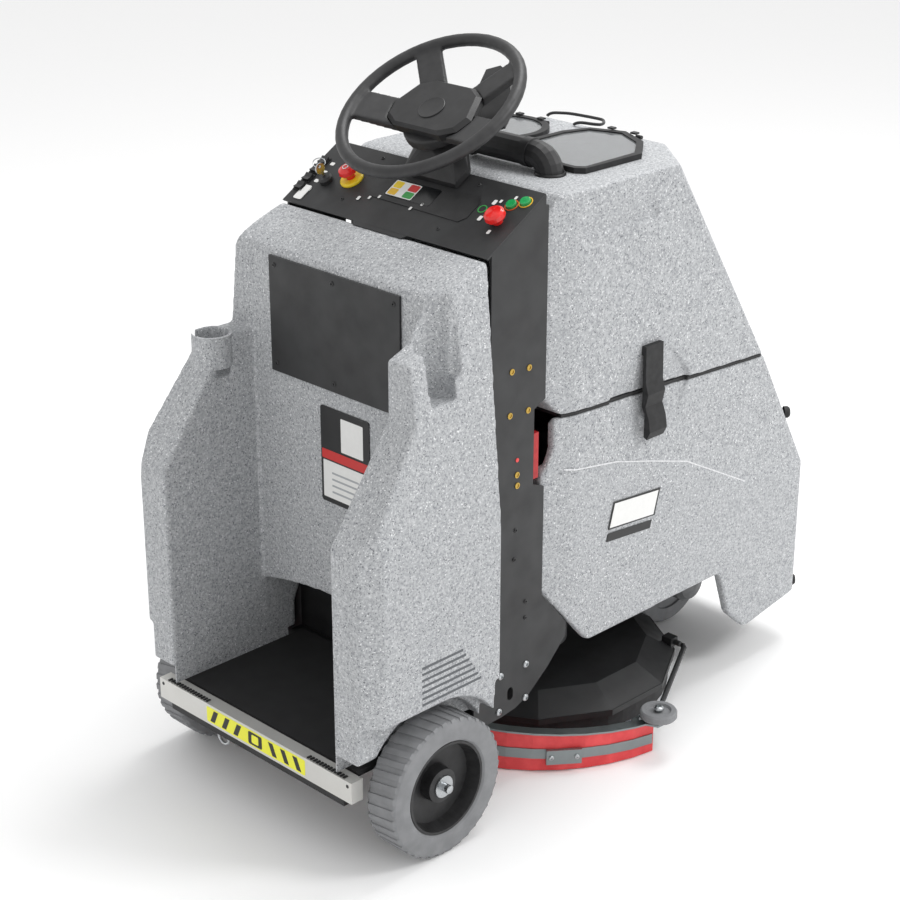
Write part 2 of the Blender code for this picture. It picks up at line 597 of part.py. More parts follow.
# ---- rear shroud ------------------------------------------------------------------------------------------
def shroud():
    """The moulded U round the operator: side view block, narrowed by its lean-in, then hollowed and cut."""
    front_low = SHROUD_FRONT_LOW_X
    side_view = [(SHROUD_REAR_X, FOOT_Z), (SHROUD_REAR_X, SLOPE_LOW_Z), (SLOPE_TOP_X, SLOPE_TOP_Z)]
    side_view += [(SLOPE_TOP_X, RIGHT_LEDGE_Z), (0.012, RIGHT_LEDGE_Z + 0.018), (0.030, 1.012)]
    side_view += [(SHROUD_WALL_X, 1.048), (0.066, 1.060), (0.100, 1.080)]
    side_view += [(SHROUD_FRONT_TOP_X - 0.006, SHROUD_TOP_Z), (SHROUD_FRONT_TOP_X, SHROUD_TOP_Z - 0.001)]
    side_view += [(front_low, WING_TAPER_Z), (front_low, 0.310), (0.140, 0.270), (0.140, 0.215),
                  (0.003, 0.215)]
    side_view += [(-0.002, FOOT_Z)]
    body = plate("rear_shroud", side_view, "XZ", -WING_OUT_Y - 0.02, WING_OUT_Y + 0.02, GRANITE)

    corner = 0.028
    rear_y = WING_OUT_Y - corner
    lean = (WING_OUT_Y - PANEL_OUT_Y) / (SHROUD_TOP_Z - WING_TAPER_Z)
    ring = []
    for z, half in ((0.10, WING_OUT_Y), (WING_TAPER_Z, WING_OUT_Y),
                    (SHROUD_TOP_Z + 0.1, PANEL_OUT_Y - 0.1 * lean)):
        for side in (1, -1):
            ring += [(0.30, side * half, z), (SHROUD_REAR_X + 0.037, side * half, z)]
            ring += [(SHROUD_REAR_X - 0.001, side * (half - WING_OUT_Y + rear_y), z)]
    envelope = hull("shroud_envelope", ring)
    keep_inside(body, envelope)

    bay_outline = [(-0.40, 0.10), (SHROUD_WALL_X, 0.10), (SHROUD_WALL_X, 1.30), (-0.40, 1.30)]
    cut(body, plate("shroud_bay", bay_outline, "XZ", -BAY_HALF, BAY_HALF))
    toe = [(y, z) for y, z in arc((0.0, TOE_TOP_Z - 0.90), 0.90, math.radians(74.9), math.radians(105.1),
                                  9)]
    toe = [(BAY_HALF, 0.10), *toe, (-BAY_HALF, 0.10)]
    cut(body, plate("shroud_toe_space", toe, "YZ", -0.10, 0.40))
    hollow_low = [(SHROUD_WALL_X + SHROUD_T, TOE_TOP_Z + SHROUD_T), (0.30, TOE_TOP_Z + SHROUD_T)]
    hollow_top = [(0.30, 1.165), (SHROUD_WALL_X + SHROUD_T, 1.030)]
    cut(body, plate("shroud_hollow", hollow_low + hollow_top, "XZ", -WALL_HOLLOW_HALF, WALL_HOLLOW_HALF))

    for word, side in SIDES:
        low, high = span(side, FOOT_OUT_Y, 0.42)
        cut(body, box(f"shroud_under_fender_{word}", (-0.30, low, 0.05), (0.0, high, FENDER_Z)))
        low, high = span(side, FOOT_OUT_Y - 0.001, 0.42)
        cut(body, cylinder(f"shroud_fender_arch_{word}", (0.0, low, WHEEL_R), (0.0, high, WHEEL_R),
                           FENDER_R, sides=48))
        low, high = span(side, WHEEL_OUT_Y - WHEEL_W - 0.012, FOOT_OUT_Y + 0.01)
        cut(body, cylinder(f"shroud_wheel_well_{word}", (0.0, low, WHEEL_R), (0.0, high, WHEEL_R),
                           WHEEL_R + 0.020, sides=48))
        low, high = span(side, PANEL_OUT_Y - SHEET - 0.004, 0.42)
        cut(body, box(f"shroud_panel_notch_{word}", (0.1425, low, 0.10), (0.30, high, 0.305)))
        wing = [(SHROUD_REAR_X + 0.012, 0.345), (0.30, 0.345), (0.30, 0.560), (-0.050, 0.600),
                (SHROUD_REAR_X + 0.012, 0.600)]
        low, high = span(side, BAY_HALF + SHROUD_T, WING_OUT_Y - SHROUD_T - 0.016)
        cut(body, plate(f"shroud_wing_hollow_{word}", wing, "XZ", low, high))

    above_left = [(-0.30, LEFT_LEDGE_Z), (SHROUD_WALL_X, LEFT_LEDGE_Z), (SHROUD_WALL_X, 1.30),
                  (-0.30, 1.30)]
    cut(body, plate("shroud_left_ledge", above_left, "XZ", 0.10, 0.42))
    boss = cylinder("shroud_cup_boss", (CUP_X, CUP_Y, LEFT_LEDGE_Z - 0.060),
                    (CUP_X, CUP_Y, LEFT_LEDGE_Z + 0.004), CUP_R + CUP_WALL, sides=32)
    cut(boss, box("shroud_cup_boss_side", (-0.40, 0.0, 0.10), (0.40, BAY_HALF, 1.30)))
    join(body, boss)
    cup = cylinder("shroud_cup", (CUP_X, CUP_Y, LEFT_LEDGE_Z - CUP_DEPTH),
                   (CUP_X, CUP_Y, LEFT_LEDGE_Z + 0.05), CUP_R, sides=32)
    notch = box("shroud_cup_notch", (CUP_X - 0.030, CUP_Y, LEFT_LEDGE_Z - 0.030),
                (CUP_X - 0.014, CUP_Y + 0.080, LEFT_LEDGE_Z + 0.020))
    pocket = cylinder("shroud_pocket", (POCKET_X, POCKET_Y, POCKET_FLOOR_Z), (POCKET_X, POCKET_Y, 1.20),
                      POCKET_R, sides=32)
    half = POCKET_SLOT_W / 2
    slot = box("shroud_pocket_slot", (POCKET_SLOT_X - half, -0.42, POCKET_SLOT_Z),
               (POCKET_SLOT_X + half, POCKET_Y, 1.20))
    lip = box("shroud_lip_notch", (-CONSOLE_LIP - 0.002, -0.080, -0.0034), (0.020, 0.083, 0.020),
              matrix=console_frame())
    edge = box("shroud_console_clearance", (-0.0065, -0.30, -CONSOLE_T - GAP), (0.050, 0.30, 0.030),
               matrix=console_frame())
    cut(body, cup, notch, pocket, slot, lip, edge)


def shroud_trim():
    face = SHROUD_WALL_X - GAP
    plate("knee_panel", [(-KNEE_HALF, KNEE_LOW_Z), (KNEE_HALF, KNEE_LOW_Z), (KNEE_HALF, KNEE_TOP_Z),
                         (-KNEE_HALF, KNEE_TOP_Z)], "YZ", face - SHEET, face, BLACK_STEEL)


# ---- tanks ------------------------------------------------------------------------------------------------
def plan_ring(z, front, inset=0.0, grow=0.0, rear=TANK_REAR_X - 0.05):
    """The tanks' plan at one height: rear corners drawn in, front corners cut off; inset moves its sides in.

    front gives X at the sides and in the middle, and grow moves both.
    """
    half = TANK_HALF - inset
    grow -= FRONT_SHARE * inset
    rear_half = half - TANK_TAPER * (TANK_TAPER_X - rear)
    chamfer_y = half - 1.2 * (front[1] - front[0])
    points = []
    for side in (1, -1):
        points += [(rear, side * rear_half, z), (TANK_TAPER_X, side * half, z)]
        points += [(front[0] + grow, side * half, z), (front[1] + grow, side * chamfer_y, z)]
    return points


def recovery_hull(name, inset):
    """The recovery tank's plan at its top and its seam, run on above and below."""
    slope = (TANK_SEAM_FRONT[0] - TANK_TOP_FRONT[0]) / (TANK_TOP_Z - 0.72)
    beyond = TANK_TOP_FRONT[0] - slope * 0.1
    points = plan_ring(TANK_TOP_Z + 0.1, (beyond, beyond + 0.10), inset)
    points += plan_ring(TANK_TOP_Z, TANK_TOP_FRONT, inset)
    points += plan_ring(0.72, TANK_SEAM_FRONT, inset)
    points += plan_ring(0.60, TANK_SEAM_FRONT, inset, 0.0643)
    return hull(name, points)


def solution_hull(name, inset, belly):
    """The solution tank's plan from above its seam down to the nose's widest line and on to the floor."""
    points = plan_ring(0.80, TANK_SEAM_FRONT, inset, -0.0447)
    for z in (NOSE_Z, -0.05):
        points += plan_ring(z, TANK_NOSE_FRONT, inset - belly, -FRONT_SHARE * belly)
    return hull(name, points)


def latch_dish(name):
    """The hollow behind the strap latch on the right side: deepest on the seam, fading out above and below."""
    outline = [(0.580, 0.850, 0.0), (0.674, 0.848, 0.0), (0.516, 0.748, LATCH_DISH),
               (0.763, 0.746, LATCH_DISH)]
    outline += [(0.565, 0.640, 0.0), (0.715, 0.640, 0.0)]
    points = [(x, -TANK_HALF + depth, z) for x, z, depth in outline]
    points += [(x, -TANK_HALF - 0.03, z) for x, z, depth in outline]
    return hull(name, points)


def grip(name, side):
    """A finger recess in a side of the recovery tank: deep at its lower lip, fading out upwards."""
    deep = TANK_HALF - 0.010
    points = [(x, side * y, 1.102 - 0.035 * (x - 0.42)) for x in (0.422, 0.648)
              for y in (deep, TANK_HALF + 0.02)]
    points += [(x, side * y, 1.152) for x in (0.440, 0.625) for y in (TANK_HALF - 0.0005, TANK_HALF + 0.02)]
    return hull(name, points)


def recovery_tank():
    rear = TANK_REAR_X
    edge = SEAM_T / 2 + GAP
    view = [(rear, 0.803), (rear + 0.045, seam_z(rear + 0.045) + edge), (1.20, seam_z(1.20) + edge)]
    view += [(1.20, TANK_TOP_Z), (rear + 0.040, TANK_TOP_Z), (rear, TANK_TOP_Z - 0.035)]
    tank = plate("recovery_tank", view, "XZ", -TANK_HALF - 0.02, TANK_HALF + 0.02, GRANITE)
    keep_inside(bevel(tank, 0.006, 1), recovery_hull("recovery_envelope", 0.0))

    wall = TANK_WALL
    view = [(rear + wall, 0.815), (rear + 0.06, 0.775), (1.10, 0.744), (1.10, TANK_TOP_Z - wall)]
    view += [(rear + 0.05, TANK_TOP_Z - wall), (rear + wall, TANK_TOP_Z - 0.045)]
    cavity = plate("recovery_cavity", view, "XZ", -TANK_HALF + wall + LATCH_DISH, TANK_HALF - wall)
    cut(tank, keep_inside(cavity, recovery_hull("recovery_cavity_envelope", wall)))
    low, high = TANK_TOP_Z - 0.05, TANK_TOP_Z + 0.05
    cut(tank, plate("recovery_mouth_right", right_lid_outline(-LID_SEAT), "XY", low, high))
    cut(tank, plate("recovery_mouth_left", left_lid_outline(-LID_SEAT), "XY", low, high))
    cut(tank, cylinder("recovery_pipe_hole", (PIPE_X, PIPE_Y, low), (PIPE_X, PIPE_Y, high), PIPE_R + 0.001,
                       sides=24))
    cut(tank, grip("recovery_grip_left", 1), grip("recovery_grip_right", -1),
        latch_dish("recovery_latch_dish"))
    set_pivot(tank, TANK_HINGE)


def solution_tank():
    rear = TANK_REAR_X
    edge = SEAM_T / 2 + GAP
    view = [(rear, 0.640), (rear, 0.398), (0.465, TANK_FLOOR_Z), (0.890, 0.253), (0.929, 0.143),
            (0.991, 0.089)]
    view += [(1.163, 0.117), (1.30, 0.117), (1.30, seam_z(1.30) - edge), (0.366, seam_z(0.366) - edge)]
    view += [(0.366, 0.690), (0.353, 0.660)]
    tank = plate("solution_tank", view, "XZ", -TANK_HALF - 0.03, TANK_HALF + 0.03, GRANITE)
    keep_inside(bevel(tank, 0.006, 1), solution_hull("solution_envelope", 0.0, TANK_BELLY))
    crease = [(0.30, 0.660), (0.419, 0.636), (0.540, 0.617), (0.762, 0.552), (0.964, 0.446), (1.30, 0.430)]
    for word, side in SIDES:
        low, high = span(side, TANK_HALF, TANK_HALF + 0.05)
        cut(tank, plate(f"solution_crease_{word}", [*crease, (1.30, 0.90), (0.30, 0.90)], "XZ", low, high))
    bay_x = rear + BAY_SKIN
    bay_view = [(bay_x, 0.0), (TANK_NOSE_FRONT[0], 0.0), (TANK_NOSE_FRONT[0], 0.46), (1.035, 0.80),
                (bay_x, 0.80)]
    bay = plate("solution_bay", bay_view, "XZ", -TANK_HALF + BAY_SKIN, TANK_HALF - BAY_SKIN)
    cut(tank, keep_inside(bay, solution_hull("solution_bay_envelope", BAY_SKIN, 0.0)))
    cut(tank, latch_dish("solution_latch_dish"))


def seam_gasket():
    """The black strip between the tanks: a ring on their plan, a little inside their faces."""
    rear = 0.386
    view = [(rear, seam_z(rear) - SEAM_T / 2), (1.20, seam_z(1.20) - SEAM_T / 2)]
    view += [(1.20, seam_z(1.20) + SEAM_T / 2), (rear, seam_z(rear) + SEAM_T / 2)]
    gasket = plate("seam_gasket", view, "XZ", -TANK_HALF, TANK_HALF, BLACK_PLASTIC)
    rings = plan_ring(0.60, TANK_SEAM_FRONT, 0.003) + plan_ring(0.90, TANK_SEAM_FRONT, 0.003)
    keep_inside(gasket, hull("gasket_envelope", rings))
    hole = plan_ring(0.60, TANK_SEAM_FRONT, GASKET_W, rear=rear + 0.02)
    hole += plan_ring(0.90, TANK_SEAM_FRONT, GASKET_W, rear=rear + 0.02)
    cut(gasket, hull("gasket_hole", hole), latch_dish("gasket_latch_dish"))


def tank_hinge():
    """A long black hinge across the nose: its barrel on the hinge line and one leaf on the recovery tank."""
    x, _, z = TANK_HINGE
    barrel = cylinder("tank_hinge", (x, -0.100, z), (x, 0.100, z), 0.006, BLACK_STEEL, 20)
    slope = math.atan2(TANK_TOP_Z - 0.72, TANK_SEAM_FRONT[1] - TANK_TOP_FRONT[1])
    leaf = Matrix.Translation(TANK_HINGE) @ Matrix.Rotation(slope - math.pi / 2, 4, "Y")
    join(barrel, box("tank_hinge_leaf", (0.0012, -0.100, 0.0), (0.0040, 0.100, 0.050), None, leaf))
    set_pivot(barrel, TANK_HINGE)


def offset_outline(points, grow):
    """The outline moved out from its middle by grow, along each point's own direction."""
    middle = Vector((sum(p[0] for p in points) / len(points), sum(p[1] for p in points) / len(points)))
    made = []
    for point in points:
        away = Vector(point) - middle
        made.append(tuple(middle + away * (1 + grow / away.length)))
    return made


def right_lid_outline(grow):
    return offset_outline(RIGHT_LID, grow)


def left_lid_outline(grow):
    return arc(LEFT_LID_CENTRE, LEFT_LID_R + grow, 0.0, 2 * math.pi * 27 / 28, 28)


def tank_lids():
    base = TANK_TOP_Z + GAP
    for word, outline in (("right", right_lid_outline), ("left", left_lid_outline)):
        frame = plate(f"lid_frame_{word}", outline(0.0), "XY", base, base + LID_T, BLACK_PLASTIC)
        cut(frame, plate(f"lid_hole_{word}", outline(-LID_FRAME_W), "XY", base - 0.01, base + 0.03))
        inner = outline(-LID_FRAME_W - 0.0005)
        window = plate(f"lid_window_{word}", inner, "XY", base + 0.003, base + 0.008, CLEAR)
        hinge_x = max(p[0] for p in outline(0.0))
        set_pivot(frame, (hinge_x, 0.0, base))
        set_pivot(window, (hinge_x, 0.0, base))


def vacuum_pipe():
    """A rigid black pipe that leaves the tank's top, bends over and dives down behind the wheel."""
    bend = PIPE_BEND
    path = [(PIPE_X, PIPE_Y, TANK_TOP_Z - 0.012)]
    path += [(PIPE_X, y, z) for y, z in arc((PIPE_Y + bend, PIPE_TOP_Z - bend), bend, math.pi, math.pi / 2,
                                            8)]
    turn = arc((PIPE_FAR_Y - bend, PIPE_TOP_Z - bend), bend, math.pi / 2, math.radians(38), 6)
    path += [(PIPE_X, y, z) for y, z in turn]
    tube("vacuum_pipe", path, PIPE_R, BLACK_PLASTIC, sides=5)


def latch():
    """A rubber strap that hangs from the recovery tank and hooks on the solution tank below the seam."""
    low, high = 0.648, 0.840
    face = -TANK_HALF + 0.0007
    wave = [(0.0, high), (-0.011, high), (-0.013, 0.765), (-0.020, 0.742), (-0.014, 0.715), (-0.024, 0.690)]
    wave += [(-0.028, 0.665), (-0.020, low), (-0.012, low + 0.004), (-0.012, 0.700), (-0.005, 0.715)]
    wave += [(-0.004, 0.820), (0.0, 0.822)]
    near, far = LATCH_X - LATCH_HALF, LATCH_X + LATCH_HALF
    strap = plate("tank_latch", [(face + y, z) for y, z in wave], "YZ", near, far, BLACK_PLASTIC)
    set_pivot(strap, (LATCH_X, face, high))
    keeper = [(face + 0.012, 0.672), (face + 0.012, 0.692), (face - 0.0105, 0.692), (face - 0.0105, 0.686)]
    keeper += [(face - 0.006, 0.672)]
    hook = plate("latch_keeper", keeper, "YZ", LATCH_X - LATCH_HALF + 0.006, LATCH_X + LATCH_HALF - 0.006)
    join(bpy.data.objects["solution_tank"], hook)


def inside_the_tank():
    floor = RAIL_Z[1] + 0.004 + GAP
    for word, side in SIDES:
        low, high = span(side, 0.004, 0.208)
        bevel(box(f"battery_{word}", (0.455, low, floor), (0.925, high, floor + 0.275), BATTERY), 0.004, 1)
    box("battery_connector", (0.303, -0.262, 0.642), (0.331, -0.215, 0.735), RED_PLASTIC)
    motor = cylinder("vacuum_motor", (0.262, 0.100, 0.820), (0.262, 0.100, 0.990), 0.070, BLACK_PLASTIC, 24)
    foot = box("vacuum_motor_foot", (0.1843, 0.050, 0.850), (0.230, 0.150, 0.950))
    join(motor, foot)


# ---- steering ---------------------------------------------------------------------------------------------
def steering():
    frame = wheel_frame()
    section = arc((STEER_R, 0.0), STEER_TUBE_R, 0.0, 2 * math.pi * 9 / 10, 10)
    rim = turned("steering_wheel", section, BLACK_PLASTIC, frame, 48)
    hub = cylinder("steering_hub", (0.0, 0.0, -0.052), (0.0, 0.0, -0.031), 0.070, sides=24, matrix=frame)
    spokes = []
    end = STEER_R - 0.004
    for i, (angle, half) in enumerate(SPOKES):
        turn = frame @ Matrix.Rotation(math.radians(angle), 4, "Z")
        points = [(0.040, y, z) for y in (-half, half) for z in (-0.050, -0.030)]
        points += [(end, y, z) for y in (-half, half) for z in (-0.009, 0.004)]
        spokes.append(hull(f"steering_spoke_{i}", points, matrix=turn))
    join(rim, hub, *spokes)
    hull("steering_hub_pad", pad_points(0.0), BLACK_PLASTIC, frame)
    cut(rim, hull("steering_hub_seat", pad_points(2 * GAP), matrix=frame))
    stem = (frame @ Vector((0.0, 0.0, -0.090)), frame @ Vector((0.0, 0.0, -0.0523)))
    cylinder("steering_column", *stem, COLUMN_R, BARE_STEEL, 20)


def pad_points(grow):
    """Corners of the hub pad: a rounded trapezium, widest across the middle, with its face drawn in."""
    pad = [(-0.056, -0.062), (-0.038, -0.095), (-0.004, -0.106), (0.056, -0.084), (0.074, -0.052)]
    pad += [(x, -y) for x, y in reversed(pad)]
    low = offset_outline([(x * 0.94, y * 0.94) for x, y in pad], grow)
    high = offset_outline([(x * 0.97, y * 0.97) for x, y in pad], grow)
    top = offset_outline([(x * 0.88, y * 0.88) for x, y in pad], grow)
    points = [(x, y, -0.0305 - grow / 2) for x, y in low] + [(x, y, -0.015) for x, y in high]
    return points + [(x, y, -0.008 + grow) for x, y in top]


def column_cover():
    """The housing under the wheel: from the console's face up round the column, with a flat stalk on its right."""
    wheel = wheel_frame()
    base = console_frame()
    top = arc((0.0, 0.0), 0.044, 0.0, 2 * math.pi * 15 / 16, 16)
    points = [wheel @ Vector((x, y, -0.058)) for x, y in top]
    foot = ((0.128, -0.002), (0.128, 0.012), (0.168, -0.010), (0.170, 0.016))
    points += [base @ Vector((u, y, w)) for u, w in foot for y in (-0.088, 0.052)]
    housing = hull("column_cover", points, BLACK_PLASTIC)
    stalk = [(0.010, -0.030), (0.060, -0.098), (0.118, -0.078), (0.172, -0.028), (0.185, 0.004),
             (0.168, 0.028)]
    corners = [(x, y, z) for x, y in stalk for z in (-0.092, -0.066)]
    join(housing, hull("column_stalk", corners, matrix=wheel))
    floor = box("column_cover_floor", (-0.05, -0.20, -0.10), (0.30, 0.20, 0.0016), matrix=base)
    bore_ends = (wheel @ Vector((0.0, 0.0, -0.092)), wheel @ Vector((0.0, 0.0, 0.05)))
    cut(housing, floor, cylinder("column_cover_bore", *bore_ends, COLUMN_R + GAP, sides=20))


def drive_unit():
    z = DRIVE_R
    half = DRIVE_W / 2
    crown = DRIVE_R - 0.006
    wheel = [(0.0, -half + 0.006), (0.080, -half + 0.006), (0.080, -half), (crown, -half),
             (DRIVE_R, -half + 0.008)]
    wheel += [(r, -y) for r, y in reversed(wheel)]
    turned("drive_wheel", wheel, TYRE, axle_frame(DRIVE_X, 0.0, z), 40)
    leg = half + 0.006
    fork = box("drive_fork", (DRIVE_X - 0.040, -leg - 0.008, z + DRIVE_R + 0.008),
               (DRIVE_X + 0.040, leg + 0.008, z + DRIVE_R + 0.018), FRAME_STEEL)
    legs = []
    for word, side in SIDES:
        low, high = span(side, leg, leg + 0.008)
        legs.append(box(f"fork_leg_{word}", (DRIVE_X - 0.028, low, z - 0.030),
                        (DRIVE_X + 0.028, high, z + DRIVE_R + 0.010)))
    stem = cylinder("fork_stem", (DRIVE_X, 0.0, z + DRIVE_R + 0.012), (DRIVE_X, 0.0, 0.330), 0.022,
                    sides=24)
    sprocket = cylinder("fork_sprocket", (DRIVE_X, 0.0, 0.316), (DRIVE_X, 0.0, 0.326), 0.060, sides=32)
    join(fork, *legs, stem, sprocket)
    set_pivot(fork, (DRIVE_X, 0.0, z))
    face = -(leg + 0.008) - GAP
    motor = [(0.0, 0.0), (0.044, 0.0), (0.044, 0.034), (0.036, 0.046), (0.018, 0.050), (0.0, 0.050)]
    turned("drive_motor", motor, MOTOR_GREY, Matrix.Translation((DRIVE_X, face,
                                                                 z)) @ Matrix.Rotation(math.pi / 2, 4,
                                                                                       "X"), 28)


# ---- scrub deck and squeegee ------------------------------------------------------------------------------
def scrub_deck():
    turn = math.pi / DECK_SIDES
    steel = 0.003
    lift = 0.030  # how far the cutter of the inside runs on below the lip
    pan = cone("deck_pan", (DECK_X, 0.0, DECK_LOW_Z), (DECK_X, 0.0, DECK_TOP_Z), (DECK_R, DECK_TOP_R),
               BLACK_STEEL, DECK_SIDES, turn=turn)
    lip = cone("deck_pan_lip", (DECK_X, 0.0, DECK_LIP_Z), (DECK_X, 0.0, DECK_LOW_Z + 0.001),
               (DECK_R, DECK_R), None, DECK_SIDES, turn=turn)
    join(pan, lip)
    inner = cone("deck_pan_inner", (DECK_X, 0.0, DECK_LOW_Z), (DECK_X, 0.0, DECK_TOP_Z - steel),
                 (DECK_R - steel, DECK_TOP_R - steel), None, DECK_SIDES, turn=turn)
    inside_lip = cone("deck_pan_inner_lip", (DECK_X, 0.0, DECK_LIP_Z - lift),
                      (DECK_X, 0.0, DECK_LOW_Z + 0.0005), (DECK_R - steel,
                                                           DECK_R - steel), None, DECK_SIDES, turn=turn)
    shaft = cylinder("deck_pan_bore", (DECK_X, 0.0, 0.05), (DECK_X, 0.0, 0.20), 0.016, sides=20)
    cut(pan, inner, inside_lip, shaft)
    x, y, z = ARM_PIVOT
    for word, side in SIDES:
        ear = hull(f"deck_ear_{word}", [(x + dx, side * dy, z + dz) for dx in (-0.012, 0.010)
                                        for dy in (y - 0.042, y - 0.016) for dz in (-0.010, 0.010)])
        pin = cylinder(f"deck_link_pin_{word}", (x, side * (y - 0.028), z), (x, side * y, z), 0.006,
                       sides=16)
        join(pan, ear, pin)
    ring_r = DECK_R * math.cos(turn) - steel - 0.0015
    skirt = [(ring_r - 0.004, 0.020), (ring_r, 0.020), (ring_r, DECK_LOW_Z - 0.001),
             (ring_r - 0.004, DECK_LOW_Z - 0.001)]
    turned("deck_skirt", skirt, BLACK_PLASTIC, Matrix.Translation((DECK_X, 0.0, 0.0)), 48)

    brush = [(0.0, 0.050), (0.110, 0.050), (0.110, BRUSH_LOW_Z), (BRUSH_R - 0.006, BRUSH_LOW_Z),
             (BRUSH_R, 0.050), (BRUSH_R - 0.006, 0.060), (0.040, 0.066), (0.040, 0.084), (0.0, 0.084)]
    turned("scrub_brush", brush, BRISTLE, Matrix.Translation((DECK_X, 0.0, 0.0)), 40)
    top = DECK_TOP_Z + GAP
    motor = [(0.0, 0.0843), (0.015, 0.0843), (0.015, top), (0.072, top), (0.072, top + 0.030),
             (0.060, top + 0.036), (0.060, top + 0.070), (0.052, top + 0.078), (0.0, top + 0.078)]
    turned("brush_motor", motor, MOTOR_GREY, Matrix.Translation((DECK_X, 0.0, 0.0)), 28)
    rod_x = DECK_X - 0.190
    join(pan, cylinder("lift_rod", (rod_x, 0.0, DECK_TOP_Z - 0.002), (rod_x, 0.0, 0.330), 0.010, sides=16))
    actuator = cylinder("lift_actuator", (rod_x, 0.0, 0.262), (rod_x, 0.0, 0.400), 0.024, FRAME_STEEL, 20)
    cut(actuator, cylinder("lift_actuator_bore", (rod_x, 0.0, 0.20), (rod_x, 0.0, 0.392), 0.0105, sides=20))
    ears = box("lift_actuator_ears", (0.1843, -0.016, 0.345), (rod_x, 0.016, 0.375))
    keep = cylinder("lift_actuator_core", (rod_x, 0.0, 0.25), (rod_x, 0.0, 0.392), 0.0105, sides=20)
    cut(join(actuator, ears), keep)


def sector(radius_in, radius_out, half_angle, count=22):
    """A curved strip behind the deck, open to the front: outline points in plan."""
    first, last = math.pi - half_angle, math.pi + half_angle
    outer = arc((SQUEEGEE_X, 0.0), radius_out, first, last, count)
    inner = arc((SQUEEGEE_X, 0.0), radius_in, last, first, count)
    return outer + inner


def squeegee_top(x):
    """Height of the blades' top edge: it falls from the back towards the ends."""
    return SQUEEGEE_TOP_Z + SQUEEGEE_FALL * (x - (SQUEEGEE_X - SQUEEGEE_R))


def sloped(obj, fall):
    """Shears a level piece so that it falls towards the front, with its back where it was."""
    back = SQUEEGEE_X - SQUEEGEE_R
    shear = Matrix(((1, 0, 0, 0), (0, 1, 0, 0), (fall, 0, 1, -fall * back), (0, 0, 0, 1)))
    obj.data.transform(shear)
    return obj


def above_the_blades(name):
    corners = [(x, y, squeegee_top(x) + up) for x in (0.0, 0.80) for y in (-0.5, 0.5) for up in (0.0, 0.2)]
    return hull(name, corners)


def squeegee():
    angle = SQUEEGEE_HALF_ANGLE
    low = SQUEEGEE_TOP_Z + GAP
    high = low + SQUEEGEE_PLATE_T
    rim = sector(SQUEEGEE_R - 0.024, SQUEEGEE_R + 0.002, angle)
    body = sloped(plate("squeegee_plate", rim, "XY", low, high, STRAP_STEEL), SQUEEGEE_FALL)
    roller_z = squeegee_top(ROLLER_X) + GAP + SQUEEGEE_PLATE_T + 0.012
    for word, side in SIDES:
        ear = [(0.528, side * 0.350), (0.612, side * 0.345), (0.614, side * 0.366)]
        ear += [(ROLLER_X + 0.012, side * (ROLLER_Y + 0.012)),
                (ROLLER_X - 0.014, side * (ROLLER_Y + 0.012))]
        ear += [(0.530, side * 0.374)]
        join(body, sloped(plate(f"squeegee_ear_{word}", ear, "XY", low, high), SQUEEGEE_FALL))
        foot = (ROLLER_X, side * ROLLER_Y, squeegee_top(ROLLER_X) + 0.002)
        step = (ROLLER_X, side * ROLLER_Y, roller_z - 0.001)
        pin_top = (ROLLER_X, side * ROLLER_Y, roller_z + ROLLER_H + 0.006)
        join(body, cylinder(f"squeegee_spacer_{word}", foot, step, 0.011, sides=16))
        join(body, cylinder(f"squeegee_pin_{word}", foot, pin_top, ROLLER_PIN_R, sides=16))
        hole = ROLLER_PIN_R + GAP
        hub = [(hole, 0.0), (ROLLER_R - 0.003, 0.0), (ROLLER_R, 0.004), (ROLLER_R, ROLLER_H - 0.004)]
        hub += [(ROLLER_R - 0.003, ROLLER_H), (0.026, ROLLER_H), (0.023, ROLLER_H - 0.005),
                (hole, ROLLER_H - 0.005)]
        place = Matrix.Translation((ROLLER_X, side * ROLLER_Y, roller_z))
        turned(f"guide_roller_{word}", hub, TYRE, place, 32)
    for name, radius in (("squeegee_blade_rear", SQUEEGEE_R), ("squeegee_blade_front", SQUEEGEE_R - 0.016)):
        strip = sector(radius - BLADE_T, radius, angle - 0.01)
        blade = plate(name, strip, "XY", 0.002, SQUEEGEE_TOP_Z + 0.01, RED_RUBBER)
        cut(blade, above_the_blades(f"{name}_top"))


def squeegee_strap():
    inner = SQUEEGEE_R + GAP
    outline = sector(inner, inner + 0.002, SQUEEGEE_HALF_ANGLE - 0.02)
    strap = sloped(plate("squeegee_strap", outline, "XY", 0.034, 0.056, STRAP_STEEL), SQUEEGEE_FALL / 2)
    for word, side in SIDES:
        turn = Matrix.Rotation(math.pi + side * math.radians(52), 4, "Z")
        place = Matrix.Translation((SQUEEGEE_X, 0.0, 0.0)) @ turn
        r = inner + 0.0006
        join(strap, box(f"strap_clamp_{word}", (r, -0.036, 0.020), (r + 0.008, 0.036, 0.052), None, place))


def squeegee_arms():
    """Bent round bars from the deck's pins back to the squeegee's ears."""
    px, py, pz = ARM_PIVOT
    for word, side in SIDES:
        rest = squeegee_top(0.596) + SQUEEGEE_PLATE_T + ARM_R + 3 * GAP
        link = [(px, py + ARM_R + 2 * GAP, pz), (px - 0.010, py + 0.018, pz + 0.002)]
        link += [(0.616, 0.357, rest + 0.001), (0.596, 0.357, rest)]
        tube(f"squeegee_arm_{word}", [(x, side * y, z) for x, y, z in link], ARM_R, BLACK_STEEL, sides=2)


